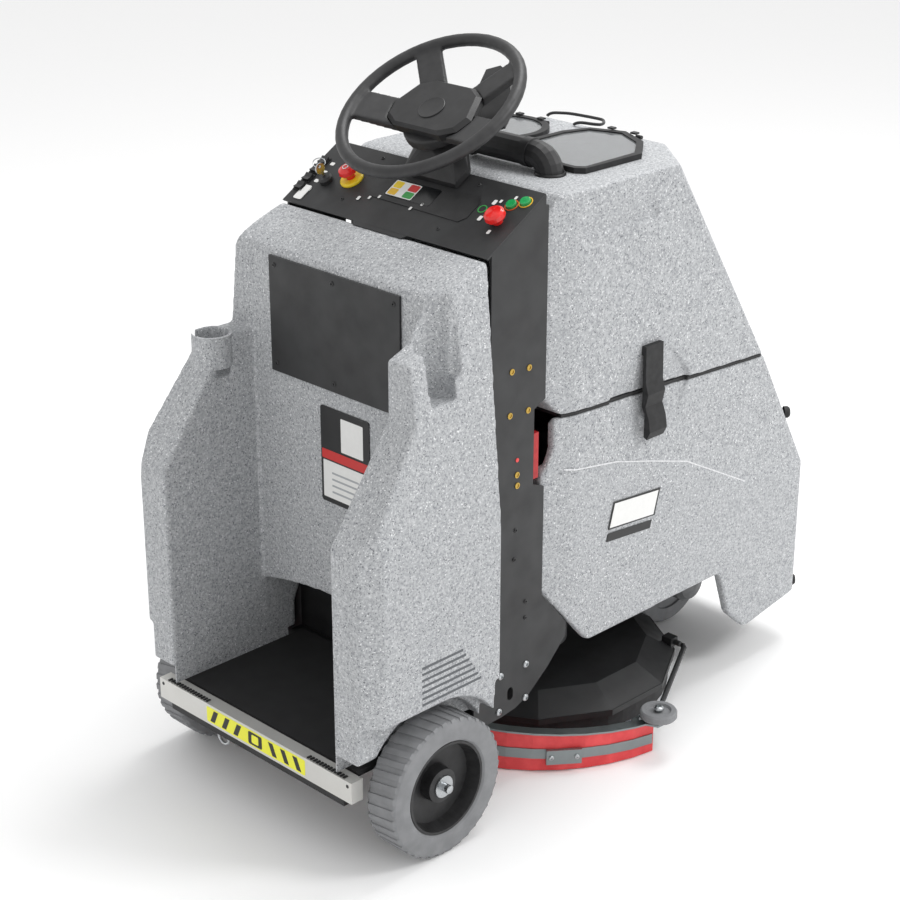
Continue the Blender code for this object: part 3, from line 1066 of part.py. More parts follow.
# ---- controls on the console ------------------------------------------------------------------------------
def controls():
    frame = console_frame()
    face = GAP
    display = [(0.056, -0.150), (0.060, 0.085), (0.075, 0.098), (0.112, 0.098), (0.120, 0.085),
               (0.124, -0.150), (0.112, -0.162), (0.070, -0.162)]
    plate("display_panel", display, "XY", face, face + 0.001, BLACK_PLASTIC, frame)
    estop = frame @ Matrix.Translation((*ESTOP_AT, 0.0))
    collar = [(0.0095, face), (0.024, face), (0.024, face + 0.003), (0.021, face + 0.006),
              (0.0095, face + 0.006)]
    turned("estop_collar", collar, YELLOW_PLASTIC, estop, 28)
    button = [(0.0, 0.001), (ESTOP_STEM_R, 0.001), (ESTOP_STEM_R, 0.016), (0.016, 0.017), (0.0185, 0.021),
              (0.017, 0.028), (0.010, 0.032), (0.0, 0.033)]
    turned("estop_button", button, RED_PLASTIC, estop, 28)
    key_at = frame @ Matrix.Translation((0.066, 0.214, 0.0))
    barrel = [(0.0, face), (0.014, face), (0.014, face + 0.008), (0.011, face + 0.012), (0.0, face + 0.012)]
    turned("key_switch", barrel, BLACK_PLASTIC, key_at, 24)
    key_low = face + 0.0123
    blade = box("ignition_key", (-0.0035, -0.0012, key_low), (0.0035, 0.0012, key_low + 0.012), BARE_STEEL,
                key_at)
    head = cylinder("ignition_key_head", (0.0, -0.0018, key_low + 0.020), (0.0, 0.0018, key_low + 0.020),
                    0.011, sides=20, matrix=key_at)
    eye = cylinder("ignition_key_eye", (0.0, -0.01, key_low + 0.025), (0.0, 0.01, key_low + 0.025), 0.0032,
                   sides=12, matrix=key_at)
    cut(join(blade, head), eye)
    for i, u in enumerate((0.036, 0.060, 0.085, 0.109)):
        at = frame @ Matrix.Translation((u, 0.262, 0.0))
        cap = [(0.0, face), (0.008, face + 0.0016), (0.0085, face + 0.0075), (0.0, face + 0.0052),
               (-0.0085, face + 0.0075), (-0.008, face + 0.0016)]
        rocker = plate(f"rocker_switch_{i + 1}", [(x, z) for x, z in cap], "XZ", -0.009, 0.009,
                       BLACK_PLASTIC, at)
        set_pivot(rocker, (0.0, 0.0, face))
    knob_at = frame @ Matrix.Translation((0.080, -0.232, 0.0))
    knob = [(0.0, face), (0.0095, face), (0.0095, 0.010), (0.0185, 0.011), (0.0205, 0.015),
            (0.0195, 0.023), (0.015, 0.027), (0.0, 0.0285)]
    turned("speed_knob", knob, RED_PLASTIC, knob_at, 28)
    for word, place in BUTTONS:
        at = frame @ Matrix.Translation((*place, 0.0))
        cap = [(0.0, face), (BUTTON_R, face), (BUTTON_R, face + 0.005), (0.009, face + 0.0065),
               (0.0, face + 0.0065)]
        turned(f"{word}_button", cap, GREEN_PLASTIC, at, 20)


rear_wheels()
rear_axle()
platform()
chassis()
side_panels()
console()
shroud()
shroud_trim()
recovery_tank()
solution_tank()
seam_gasket()
tank_hinge()
tank_lids()
vacuum_pipe()
latch()
inside_the_tank()
steering()
column_cover()
drive_unit()
scrub_deck()
squeegee()
squeegee_strap()
squeegee_arms()
controls()
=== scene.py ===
"""Looks for the stand-on floor scrubber-dryer: finishes, surface detail and a plain studio."""

import math

import bmesh
import bpy
from mathutils import Matrix, Vector


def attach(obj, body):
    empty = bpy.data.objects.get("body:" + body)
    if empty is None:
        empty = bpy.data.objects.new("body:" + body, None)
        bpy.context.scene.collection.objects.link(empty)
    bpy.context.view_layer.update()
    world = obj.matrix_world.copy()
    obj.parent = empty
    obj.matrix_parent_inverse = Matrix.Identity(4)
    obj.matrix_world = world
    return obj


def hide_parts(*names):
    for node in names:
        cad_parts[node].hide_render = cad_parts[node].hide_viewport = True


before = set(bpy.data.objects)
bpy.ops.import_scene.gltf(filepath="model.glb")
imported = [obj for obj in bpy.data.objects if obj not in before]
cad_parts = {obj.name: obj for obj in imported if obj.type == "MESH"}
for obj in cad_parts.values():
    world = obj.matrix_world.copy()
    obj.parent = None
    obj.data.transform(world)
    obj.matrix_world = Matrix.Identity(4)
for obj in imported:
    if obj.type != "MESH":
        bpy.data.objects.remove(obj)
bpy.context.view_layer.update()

AXLE_X = -0.510  # the rear axle, from the machine's middle
CONSOLE_SLOPE = math.radians(31)
COLUMN_TILT = math.radians(32.35)
PLATE_T = 0.0012  # thin stuck-on or screwed-on plates
LEDGE_Z = 0.885  # the left wing's ledge
MAT_Z = 0.2004  # just above the standing mat
BAY_Y = 0.2352  # the wings' inner faces
CUP_PLACE = (-0.020, 0.268)  # X, Y of the cup holder
CUP_INSIDE = 0.0338
CUP_OUTSIDE = 0.0400
CUP_LENGTH = 0.0635
SIDES = (("left", 1), ("right", -1))


# ---- places ------------------------------------------------------------------------------------------------
def at(x, y, z):
    """A point measured from the rear axle, in the machine's own frame."""
    return Vector((AXLE_X + x, y, z))


def tilted(angle):
    """Local X forward and up the slope, Y to the left, Z off the face."""
    c, s = math.cos(angle), math.sin(angle)
    return Matrix(((c, 0, -s), (0, 1, 0), (s, 0, c))).to_4x4()


def facing(normal):
    """Local Z along the normal."""
    return Vector(normal).to_track_quat("Z", "Y").to_matrix().to_4x4()


CONSOLE = Matrix.Translation(at(0.178, 0.0, 1.113)) @ tilted(CONSOLE_SLOPE)
WHEEL = Matrix.Translation(at(0.304, 0.0, 1.320)) @ tilted(COLUMN_TILT)


# ---- finishes: helpers -------------------------------------------------------------------------------------
def linear(hex_colour):
    """sRGB hex to linear red, green, blue and full alpha."""
    values = [int(hex_colour[i : i + 2], 16) / 255 for i in (1, 3, 5)]
    return (*[v / 12.92 if v <= 0.04045 else ((v + 0.055) / 1.055) ** 2.4 for v in values], 1.0)


def add(tree, kind, inputs, **settings):
    """Adds a node: inputs are values or other nodes' outputs by socket name or number."""
    node = tree.nodes.new("ShaderNode" + kind)
    for key, value in settings.items():
        setattr(node, key, value)
    for key, value in inputs.items():
        if isinstance(value, bpy.types.NodeSocket):
            tree.links.new(value, node.inputs[key])
        else:
            node.inputs[key].default_value = value
    return node


def finish(name, colour, roughness, metallic=0.0, **constants):
    """A Principled finish with its constants set on the shader itself."""
    made = bpy.data.materials.new(name)
    made.use_nodes = True
    shader = made.node_tree.nodes["Principled BSDF"]
    shader.inputs["Base Color"].default_value = linear(colour)
    shader.inputs["Roughness"].default_value = roughness
    shader.inputs["Metallic"].default_value = metallic
    for key, value in constants.items():
        shader.inputs[key.replace("_", " ")].default_value = value
    made.diffuse_color = linear(colour)
    return made


def spread(tree, factor, stops):
    """Turns a 0..1 factor into colours; stops are (place, hex)."""
    ramp = add(tree, "ValToRGB", {"Fac": factor})
    elements = ramp.color_ramp.elements
    for i, (place, hex_colour) in enumerate(stops):
        element = elements[i] if i < 2 else elements.new(place)
        element.position = place
        element.color = linear(hex_colour)
    return ramp.outputs["Color"]


def mottle(made, size_mm, stops, detail=3.0):
    """Near shades that drift over the surface, so that it's never one flat colour."""
    tree = made.node_tree
    place = add(tree, "TexCoord", {}).outputs["Object"]
    noise = add(tree, "TexNoise", {"Vector": place, "Scale": 1000 / size_mm, "Detail": detail})
    colour = spread(tree, noise.outputs["Fac"], stops)
    tree.links.new(colour, tree.nodes["Principled BSDF"].inputs["Base Color"])
    return made


def grain(made, size_mm, height_mm, strength=0.5):
    """Fine relief all over, as a blasted mould, a sprayed coat or a cast skin leaves it."""
    tree = made.node_tree
    place = add(tree, "TexCoord", {}).outputs["Object"]
    noise = add(tree, "TexNoise", {"Vector": place, "Scale": 1000 / size_mm, "Detail": 2.0})
    relief = {"Height": noise.outputs["Fac"], "Strength": strength, "Distance": height_mm / 1000}
    bump = add(tree, "Bump", relief)
    tree.links.new(bump.outputs["Normal"], tree.nodes["Principled BSDF"].inputs["Normal"])
    return made


def handled(made, size_mm, low, high):
    """Gloss that varies as hands, dust and cleaning leave it."""
    tree = made.node_tree
    place = add(tree, "TexCoord", {}).outputs["Object"]
    noise = add(tree, "TexNoise", {"Vector": place, "Scale": 1000 / size_mm, "Detail": 4.0})
    gloss = add(tree, "MapRange", {"Value": noise.outputs["Fac"], "From Min": 0.3, "From Max": 0.7,
                                   "To Min": low, "To Max": high})
    tree.links.new(gloss.outputs["Result"], tree.nodes["Principled BSDF"].inputs["Roughness"])
    return made


def brushed(made, along, line_mm, height_mm):
    """Fine scratches along one axis, as a belt leaves them."""
    tree = made.node_tree
    place = add(tree, "TexCoord", {}).outputs["Object"]
    stretch = [1.0 if axis == along else 1000 / line_mm / 8 for axis in "XYZ"]
    lines = add(tree, "Mapping", {"Vector": place, "Scale": stretch})
    noise = add(tree, "TexNoise", {"Vector": lines.outputs["Vector"], "Scale": 8.0, "Detail": 2.0})
    relief = {"Height": noise.outputs["Fac"], "Strength": 0.35, "Distance": height_mm / 1000}
    bump = add(tree, "Bump", relief)
    tree.links.new(bump.outputs["Normal"], tree.nodes["Principled BSDF"].inputs["Normal"])
    return made


# ---- finishes: one for each real material ------------------------------------------------------------------
def granite_polyethylene():
    """Rotomoulded polyethylene with dark and white flecks: matt, speckled, slightly wavy skin."""
    made = finish("granite_polyethylene", "#BFC1C4", 0.58, Specular_IOR_Level=0.4)
    tree = made.node_tree
    shader = tree.nodes["Principled BSDF"]
    place = add(tree, "TexCoord", {}).outputs["Object"]
    cloud = add(tree, "TexNoise", {"Vector": place, "Scale": 1000 / 5.5, "Detail": 5.0, "Roughness": 0.72})
    base = spread(tree, cloud.outputs["Fac"], ((0.30, "#7C7E82"), (0.43, "#9EA0A3"), (0.55, "#B2B4B6"),
                                               (0.70, "#CBCCCE")))
    # the real grains are about 1 mm; flecks of 3 mm are the smallest that still show
    dark = add(tree, "TexNoise", {"Vector": place, "Scale": 1000 / 3.0, "Detail": 1.0})
    dark_mask = add(tree, "MapRange", {"Value": dark.outputs["Fac"], "From Min": 0.63, "From Max": 0.70})
    flecked = {0: dark_mask.outputs["Result"], 6: base, 7: linear("#5C5E63")}
    speckled = add(tree, "Mix", flecked, data_type="RGBA")
    shifted = add(tree, "Mapping", {"Vector": place, "Location": (3.1, 1.7, 5.3)})
    white = add(tree, "TexNoise", {"Vector": shifted.outputs["Vector"], "Scale": 1000 / 3.4, "Detail": 1.0})
    white_mask = add(tree, "MapRange", {"Value": white.outputs["Fac"], "From Min": 0.64, "From Max": 0.72})
    mixed = {0: white_mask.outputs["Result"], 6: speckled.outputs[2], 7: linear("#E6E7E8")}
    speckled_white = add(tree, "Mix", mixed, data_type="RGBA")
    tree.links.new(speckled_white.outputs[2], shader.inputs["Base Color"])
    skin = add(tree, "TexNoise", {"Vector": place, "Scale": 1000 / 9.0, "Detail": 3.0})
    relief = {"Height": skin.outputs["Fac"], "Strength": 0.35, "Distance": 0.0012}
    tree.links.new(add(tree, "Bump", relief).outputs["Normal"], shader.inputs["Normal"])
    return made


def painted_crease_highlight():
    """Pale granite without flecks: a painted highlight for the crease ledge on the tank, where it catches the
    light.
    """
    made = finish("painted_crease_highlight", "#D9DADB", 0.6)
    return mottle(made, 5, ((0.35, "#C9CACC"), (0.65, "#E4E5E6")))


def powder_coat():
    """Black polyester powder baked on sheet steel: satin with a fine orange peel."""
    made = finish("black_powder_coat", "#272728", 0.5)
    return handled(grain(mottle(made, 60, ((0.35, "#252526"), (0.65, "#292A2B"))), 1.6, 0.12), 45, 0.42,
                   0.6)


def frame_paint():
    """Satin black paint on welded steel, a little dusty."""
    return grain(mottle(finish("black_frame_paint", "#1C1C1D", 0.55), 40,
                        ((0.35, "#161617"), (0.7, "#262627"))), 2.0, 0.1)


def zinc_plate():
    """Bright zinc plating on steel: pale metal with cloudy gloss."""
    return handled(finish("zinc_plated_steel", "#B9BCBE", 0.3, 1.0), 6, 0.22, 0.42)


def brass():
    """Yellow-passivated rivet nuts."""
    return handled(finish("yellow_passivated_zinc", "#B89A4E", 0.35, 1.0), 4, 0.28, 0.45)


def brushed_stainless():
    """Stainless plate finished on a belt: pale, with lines along the bar and a soft sheen."""
    made = finish("brushed_stainless", "#D3D2CE", 0.42, 0.55)
    return brushed(handled(made, 30, 0.36, 0.5), "Y", 1.5, 0.06)


def spring_steel():
    """Cold-rolled strap steel: grey, with faint rolling lines."""
    return handled(finish("rolled_spring_steel", "#8A9192", 0.4, 0.85), 18, 0.32, 0.5)


def tyre_rubber():
    """Solid non-marking rubber, moulded: mid grey, matt, chalky in the hollows."""
    made = finish("non_marking_grey_rubber", "#87888A", 0.8)
    return grain(mottle(made, 28, ((0.32, "#7C7D7F"), (0.5, "#828385"), (0.68, "#88898B"))), 2.5, 0.15)


def nylon():
    """Glass-filled nylon wheel discs: near black, dull satin."""
    return grain(mottle(finish("glass_filled_nylon", "#232324", 0.45), 20,
                        ((0.35, "#1D1D1E"), (0.7, "#2B2B2C"))), 1.5, 0.1)


def mat_rubber():
    """Foam-backed vinyl standing mat: matt black with a fine pebble."""
    made = finish("pebbled_vinyl_mat", "#1F1F20", 0.88)
    return grain(mottle(made, 35, ((0.35, "#1E1E1F"), (0.68, "#232324"))), 2.2, 0.35, 0.8)


def moulded_black():
    """Black ABS from a spark-eroded mould: satin with a fine grain."""
    made = finish("grained_black_abs", "#222223", 0.42)
    return handled(grain(mottle(made, 30, ((0.35, "#1E1E1F"), (0.68, "#272728"))), 1.2, 0.08), 25, 0.36,
                   0.5)


def wheel_foam():
    """Integral-skin polyurethane round a steel ring: soft black skin with a leathery sheen."""
    made = finish("integral_skin_polyurethane", "#2A2A2B", 0.5, Coat_Weight=0.08, Coat_Roughness=0.4)
    return grain(mottle(made, 24, ((0.35, "#252526"), (0.68, "#303031"))), 1.4, 0.12)


def gum_rubber():
    """Red gum-rubber squeegee strip: bright, slightly waxy, lets a little light in."""
    made = finish("red_gum_rubber", "#DE3F42", 0.5, Subsurface_Weight=0.05, Subsurface_Scale=0.01)
    return grain(mottle(made, 40, ((0.35, "#D1383C"), (0.68, "#E54D4F"))), 3.0, 0.1)


def soft_black_rubber():
    """Moulded EPDM seals and straps: deep black, dull."""
    return grain(mottle(finish("epdm_rubber", "#1E1E1F", 0.65), 14,
                        ((0.35, "#19191A"), (0.68, "#262627"))), 1.6, 0.1)


def gloss_red():
    """Red polycarbonate knobs and buttons, polished mould: saturated and shiny."""
    made = finish("gloss_red_polycarbonate", "#E01F1C", 0.22, Coat_Weight=0.4, Coat_Roughness=0.1)
    return mottle(made, 12, ((0.3, "#D91B19"), (0.7, "#E62622")))


def red_connector():
    """Red battery connector housing: satin polycarbonate."""
    return grain(mottle(finish("red_connector_housing", "#B0181C", 0.45), 12,
                        ((0.3, "#A31519"), (0.7, "#BB1E22"))), 1.0, 0.05)


def collar_yellow():
    """Yellow ABS collar."""
    return mottle(finish("yellow_abs", "#E8C81E", 0.4), 10, ((0.3, "#E0BF18"), (0.7, "#EFD02A")))


def lens_green():
    """Green button caps, polished."""
    made = finish("green_button_cap", "#1F9A52", 0.25, Coat_Weight=0.3, Coat_Roughness=0.1)
    return mottle(made, 5, ((0.3, "#1A8F4B"), (0.7, "#2BA85E")))


def ink(name, hex_colour, roughness=0.45):
    """Screen-printed ink or vinyl film on a plate: flat, with a trace of unevenness."""
    shade = linear(hex_colour)
    made = finish(name, hex_colour, roughness)
    tree = made.node_tree
    place = add(tree, "TexCoord", {}).outputs["Object"]
    noise = add(tree, "TexNoise", {"Vector": place, "Scale": 1000 / 8.0, "Detail": 2.0})
    worn = [v * 0.92 for v in shade[:3]] + [1.0]
    uneven = add(tree, "Mix", {0: noise.outputs["Fac"], 6: shade, 7: worn}, data_type="RGBA")
    tree.links.new(uneven.outputs[2], tree.nodes["Principled BSDF"].inputs["Base Color"])
    return made


def smoked_window():
    """Clear polycarbonate window, lightly scratched: grey see-through with a sharp gloss."""
    made = finish("clear_polycarbonate", "#C4C7C9", 0.1, Transmission_Weight=0.75, IOR=1.45)
    return handled(made, 20, 0.06, 0.2)


def bristle():
    """Blue nylon filament."""
    made = finish("nylon_bristle", "#2F4E7A", 0.75)
    return brushed(mottle(made, 6, ((0.3, "#223C61"), (0.7, "#3D6092"))), "Z", 1.2, 0.5)


def motor_paint():
    """Grey enamel on a cast motor body."""
    return grain(mottle(finish("grey_motor_enamel", "#6F7173", 0.48), 25,
                        ((0.3, "#666869"), (0.7, "#78797B"))), 2.0, 0.12)


def battery_case():
    """Polypropylene battery case, matt."""
    return grain(mottle(finish("polypropylene_case", "#3A3C40", 0.5), 30,
                        ((0.3, "#34363A"), (0.7, "#414347"))), 1.8, 0.08)


GRANITE = granite_polyethylene()
CREASE_HIGHLIGHT = painted_crease_highlight()
POWDER = powder_coat()
FRAME_PAINT = frame_paint()
ZINC = zinc_plate()
BRASS = brass()
STAINLESS = brushed_stainless()
SPRING = spring_steel()
TYRE = tyre_rubber()
NYLON = nylon()
MAT = mat_rubber()
MOULDED = moulded_black()
WHEEL_SKIN = wheel_foam()
GUM = gum_rubber()
RUBBER = soft_black_rubber()
RED = gloss_red()
CONNECTOR = red_connector()
YELLOW = collar_yellow()
GREEN = lens_green()
WINDOW = smoked_window()
BRISTLE = bristle()
MOTOR = motor_paint()
BATTERY = battery_case()
BLACK_INK = ink("black_vinyl", "#1B1B1C")
WHITE_INK = ink("white_print", "#E9E9E7")
GREY_INK = ink("dark_grey_vinyl", "#55585C")
PALE_INK = ink("pale_grey_vinyl", "#A8ABAE")
RED_INK = ink("red_print", "#C9302E")
HAZARD = ink("hazard_yellow_film", "#F2F03A", 0.35)
SCREEN = ink("display_glass", "#141617", 0.15)
LEAF_INK = ink("green_print", "#3C9B4C")
AMBER_INK = ink("amber_print", "#E8B92F")
ORANGE_INK = ink("orange_print", "#D9622B")

NODE_FINISHES = (
    (POWDER, ("side_panel_left", "side_panel_right", "console_plate", "knee_panel", "deck_pan")),
    (POWDER, ("squeegee_arm_left", "squeegee_arm_right", "tank_hinge")),
    (FRAME_PAINT, ("chassis_frame", "drive_fork", "lift_actuator")),
    (ZINC, ("rear_axle", "tow_ring", "steering_column", "ignition_key")),
    (STAINLESS, ("step_bar",)),
    (TYRE, ("drive_wheel", "guide_roller_left", "guide_roller_right")),
    (NYLON, ("rear_rim_left", "rear_rim_right")),
    (MAT, ("platform_mat",)),
    (RUBBER, ("deck_skirt", "seam_gasket", "tank_latch", "lid_frame_left", "lid_frame_right")),
    (MOULDED, ("vacuum_motor", "column_cover", "display_panel", "key_switch", "steering_hub_pad",
               "vacuum_pipe")),
    (MOULDED, ("rocker_switch_1", "rocker_switch_2", "rocker_switch_3", "rocker_switch_4")),
    (WHEEL_SKIN, ("steering_wheel",)),
    (GUM, ("squeegee_blade_rear", "squeegee_blade_front")),
    (SPRING, ("squeegee_plate", "squeegee_strap")),
    (RED, ("estop_button", "speed_knob")),
    (CONNECTOR, ("battery_connector",)),
    (YELLOW, ("estop_collar",)),
    (GREEN, ("forward_button", "reverse_button")),
    (WINDOW, ("lid_window_left", "lid_window_right")),
    (BRISTLE, ("scrub_brush",)),
    (MOTOR, ("drive_motor", "brush_motor")),
    (BATTERY, ("battery_left", "battery_right")),
    (GRANITE, ("rear_shroud", "recovery_tank", "solution_tank")),
)
FOLDED_EDGES = (
    "side_panel_left",
    "side_panel_right",
    "console_plate",
    "knee_panel",
    "step_bar",
    "platform_mat",
    "deck_pan",
    "tank_latch",
    "display_panel",
    "steering_hub_pad",
    "column_cover",
    "battery_connector",
    "lid_frame_left",
    "lid_frame_right",
)


def dress_the_frame():
    for made, names in NODE_FINISHES:
        for name in names:
            node = bpy.data.objects[name]
            node.data.materials.clear()
            node.data.materials.append(made)
    for name in FOLDED_EDGES:
        rounded = bpy.data.objects[name].modifiers.new("folded_edges", "BEVEL")
        rounded.width = {"steering_hub_pad": 0.006, "column_cover": 0.008, "tank_latch": 0.003}.get(name,
                                                                                                    0.001)
        rounded.segments = 3
        rounded.limit_method = "ANGLE"
        rounded.angle_limit = math.radians(28)


# ---- pieces: helpers ---------------------------------------------------------------------------------------
def piece(name, bm, made, body, smooth=True):
    """Ends a mesh in the making: it becomes an object that rides on a body."""
    bmesh.ops.recalc_face_normals(bm, faces=bm.faces)
    mesh = bpy.data.meshes.new(name)
    bm.to_mesh(mesh)
    bm.free()
    mesh.materials.append(made)
    if smooth:
        mesh.shade_smooth()
        mesh.set_sharp_from_angle(angle=math.radians(35))
    obj = bpy.data.objects.new(name, mesh)
    bpy.context.scene.collection.objects.link(obj)
    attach(obj, body)
    return obj


def turned(bm, profile, place, sides=24):
    """Turns (radius, height) points about the place's Z axis; a radius of 0 closes an end."""
    rings = []
    for radius, height in profile:
        if radius == 0:
            rings.append([bm.verts.new(place @ Vector((0, 0, height)))])
            continue
        angles = [2 * math.pi * i / sides for i in range(sides)]
        rings.append([bm.verts.new(place @ Vector((radius * math.cos(a), radius * math.sin(a), height)))
                      for a in angles])
    for near, far in zip(rings, rings[1:]):
        for i in range(sides):
            corners = [near[i % len(near)], near[(i + 1) % len(near)], far[(i + 1) % len(far)],
                       far[i % len(far)]]
            unique = list(dict.fromkeys(corners))
            if len(unique) > 2:
                bm.faces.new(unique)


def slab(bm, place, low, high):
    """A rectangular block between two local corners."""
    size = Vector(high) - Vector(low)
    middle = (Vector(high) + Vector(low)) / 2
    scale = Matrix.Diagonal((*size, 1))
    bmesh.ops.create_cube(bm, size=1.0, matrix=place @ Matrix.Translation(middle) @ scale)


def outline(bm, points, place, thickness):
    """A flat outline given as (x, y), raised off its face by a thickness."""
    low = [bm.verts.new(place @ Vector((x, y, 0))) for x, y in points]
    high = [bm.verts.new(place @ Vector((x, y, thickness))) for x, y in points]
    bm.faces.new(low[::-1])
    bm.faces.new(high)
    for i in range(len(points)):
        j = (i + 1) % len(points)
        bm.faces.new((low[i], low[j], high[j], high[i]))


def rounded_rectangle(low, high, radius, steps=5):
    centres = ((high[0], high[1], 0), (low[0], high[1], 1), (low[0], low[1], 2), (high[0], low[1], 3))
    points = []
    for x, y, quarter in centres:
        cx = x - radius if quarter in (0, 3) else x + radius
        cy = y - radius if quarter in (0, 1) else y + radius
        for i in range(steps):
            a = math.pi / 2 * (quarter + i / (steps - 1))
            points.append((cx + radius * math.cos(a), cy + radius * math.sin(a)))
    return points


def bolt_profile(radius, height):
    """A button-head screw with a hexagon socket."""
    crown = [(radius, 0), (radius, height * 0.35), (radius * 0.85, height * 0.75), (radius * 0.5, height)]
    return crown + [(radius * 0.42, height), (radius * 0.38, height * 0.35), (0, height * 0.3)]


def bolts(name, places, radius, height, made, body):
    """One piece that holds a set of alike screw heads."""
    bm = bmesh.new()
    for place in places:
        turned(bm, bolt_profile(radius, height), place, 18)
    return piece(name, bm, made, body)


def wire(name, points, radius, made, body, closed=False):
    curve = bpy.data.curves.new(name, "CURVE")
    curve.dimensions = "3D"
    curve.bevel_depth = radius
    curve.bevel_resolution = 3
    curve.use_fill_caps = True
    spline = curve.splines.new("NURBS")
    spline.points.add(len(points) - 1)
    for point, co in zip(spline.points, points):
        point.co = (*co, 1)
    spline.use_endpoint_u = not closed
    spline.use_cyclic_u = closed
    spline.order_u = 3
    curve.materials.append(made)
    obj = bpy.data.objects.new(name, curve)
    bpy.context.scene.collection.objects.link(obj)
    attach(obj, body)
    return obj


# ---- mouldings ---------------------------------------------------------------------------------------------
def soft_moulding(node, body, voxel, passes, made, keep=0.35):
    """A moulded skin: the solid's own shape with every edge and corner softened."""
    source = bpy.data.objects[node]
    obj = bpy.data.objects.new(f"{node}_skin", source.data.copy())
    bpy.context.scene.collection.objects.link(obj)
    obj.data.materials.clear()
    obj.data.materials.append(made)
    remesh = obj.modifiers.new("skin", "REMESH")
    remesh.mode = "VOXEL"
    remesh.voxel_size = voxel
    smooth = obj.modifiers.new("soften", "SMOOTH")
    smooth.factor = 0.6
    smooth.iterations = passes
    thin = obj.modifiers.new("thin", "DECIMATE")
    thin.ratio = keep
    bpy.context.view_layer.update()
    mesh = bpy.data.meshes.new_from_object(obj.evaluated_get(bpy.context.evaluated_depsgraph_get()))
    obj.modifiers.clear()
    obj.data = mesh
    mesh.shade_smooth()
    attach(obj, body)
    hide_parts(node)
    return obj


def mouldings():
    soft_moulding("rear_shroud", "chassis", 0.0035, 9, GRANITE, 0.3)
    soft_moulding("recovery_tank", "recovery_tank", 0.0035, 9, GRANITE, 0.3)
    soft_moulding("solution_tank", "chassis", 0.0035, 9, GRANITE, 0.3)
    soft_moulding("steering_wheel", "steering", 0.0022, 10, WHEEL_SKIN, 0.5)


# ---- wheels ------------------------------------------------------------------------------------------------
def rear_tyres():
    """Solid tyres with low slanted bars right across the tread."""
    radius, half, rim = 0.140, 0.0375, 0.094
    lug = 0.0024
    count = 38
    for word, side in SIDES:
        hub = at(0.0, side * 0.3165, radius)
        place = Matrix.Translation(hub) @ Matrix.Rotation(-math.pi / 2, 4, "X")
        bm = bmesh.new()
        low = radius - lug
        shoulder = [(rim, 0.032), (rim + 0.004, half - 0.001), (rim + 0.010, half), (low - 0.010, half)]
        shoulder += [(low - 0.003, half - 0.002), (low, half - 0.006)]
        profile = [(r, -z) for r, z in shoulder] + [(r, z) for r, z in reversed(shoulder)] + [(rim, -0.032)]
        turned(bm, profile, place, 96)
        for i in range(count):
            turn = Matrix.Rotation(2 * math.pi * i / count, 4, "Z")
            seat = place @ turn @ Matrix.Translation((low, 0, 0)) @ Matrix.Rotation(math.radians(9), 4, "X")
            foot = [(-0.003, y, z) for y, z in ((0.0068, 0.036), (-0.0068, 0.036), (-0.0068, -0.036),
                                                (0.0068, -0.036))]
            top = [(lug, y, z) for y, z in ((0.0055, 0.0325), (-0.0055, 0.0325), (-0.0055, -0.0325),
                                            (0.0055, -0.0325))]
            foot = [bm.verts.new(seat @ Vector(p)) for p in foot]
            crown = [bm.verts.new(seat @ Vector(p)) for p in top]
            bm.faces.new(crown)
            bm.faces.new(foot[::-1])
            for k in range(4):
                bm.faces.new((foot[k], foot[(k + 1) % 4], crown[(k + 1) % 4], crown[k]))
        tyre = piece(f"lugged_tyre_{word}", bm, TYRE, f"rear_wheel_{word}")
        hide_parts(f"rear_tyre_{word}")


def rim_bolts():
    """The zinc cap on each end of the rear axle."""
    for word, side in SIDES:
        place = Matrix.Translation(at(0.0, side * 0.3535, 0.140)) @ facing((0, side, 0))
        cap = bmesh.new()
        turned(cap, [(0.0, 0.0062), (0.006, 0.0060), (0.0085, 0.0045), (0.0088, 0.0)], place, 24)
        piece(f"axle_end_{word}", cap, ZINC, "chassis")


# ---- rear end ----------------------------------------------------------------------------------------------
def hazard_strip():
    """Yellow film on the step bar's face with six slanted black bars and a plain black patch."""
    film = bmesh.new()
    outline(film, rounded_rectangle((-0.155, -0.0165), (0.135, 0.0165), 0.003), face_on_bar(), 0.0004)
    piece("hazard_film", film, HAZARD, "chassis", smooth=False)
    marks = bmesh.new()
    for y in (0.112, 0.077, 0.042, -0.062, -0.097, -0.132):
        slant = -0.006 if y > 0 else 0.006
        bar = [(y - 0.0065 - slant, -0.013), (y + 0.0065 - slant, -0.013)]
        bar += [(y + 0.0065 + slant, 0.013), (y - 0.0065 + slant, 0.013)]
        outline(marks, bar, face_on_bar(0.0004), 0.0003)
    outline(marks, rounded_rectangle((-0.031, -0.0135), (0.009, 0.0135), 0.004), face_on_bar(0.0004),
            0.0003)
    piece("hazard_bars", marks, BLACK_INK, "chassis", smooth=False)
    window = bmesh.new()
    outline(window, rounded_rectangle((-0.021, -0.009), (-0.001, 0.009), 0.003), face_on_bar(0.0007),
            0.0002)
    piece("hazard_patch", window, HAZARD, "chassis", smooth=False)


def face_on_bar(off=0.0):
    """Local X along the step bar to the left, Y up, Z off its rear face."""
    turn = Matrix(((0, 0, -1), (1, 0, 0), (0, 1, 0))).to_4x4()
    return Matrix.Translation(at(-0.178 - off, 0.0, 0.175)) @ turn


def step_teeth():
    """Folded-up grip teeth along the bar's top edge, at both ends."""
    bm = bmesh.new()
    top = 0.197
    for start, end in ((0.135, 0.262), (-0.262, -0.155)):
        count = round((end - start) / 0.0085)
        for i in range(count):
            y = start + (end - start) * (i + 0.5) / count
            slab(bm, Matrix.Translation(at(-0.173, y, top)), (-0.002, -0.0022, -0.0008),
                 (0.008, 0.0022, 0.0022))
    piece("step_teeth", bm, FRAME_PAINT, "chassis")
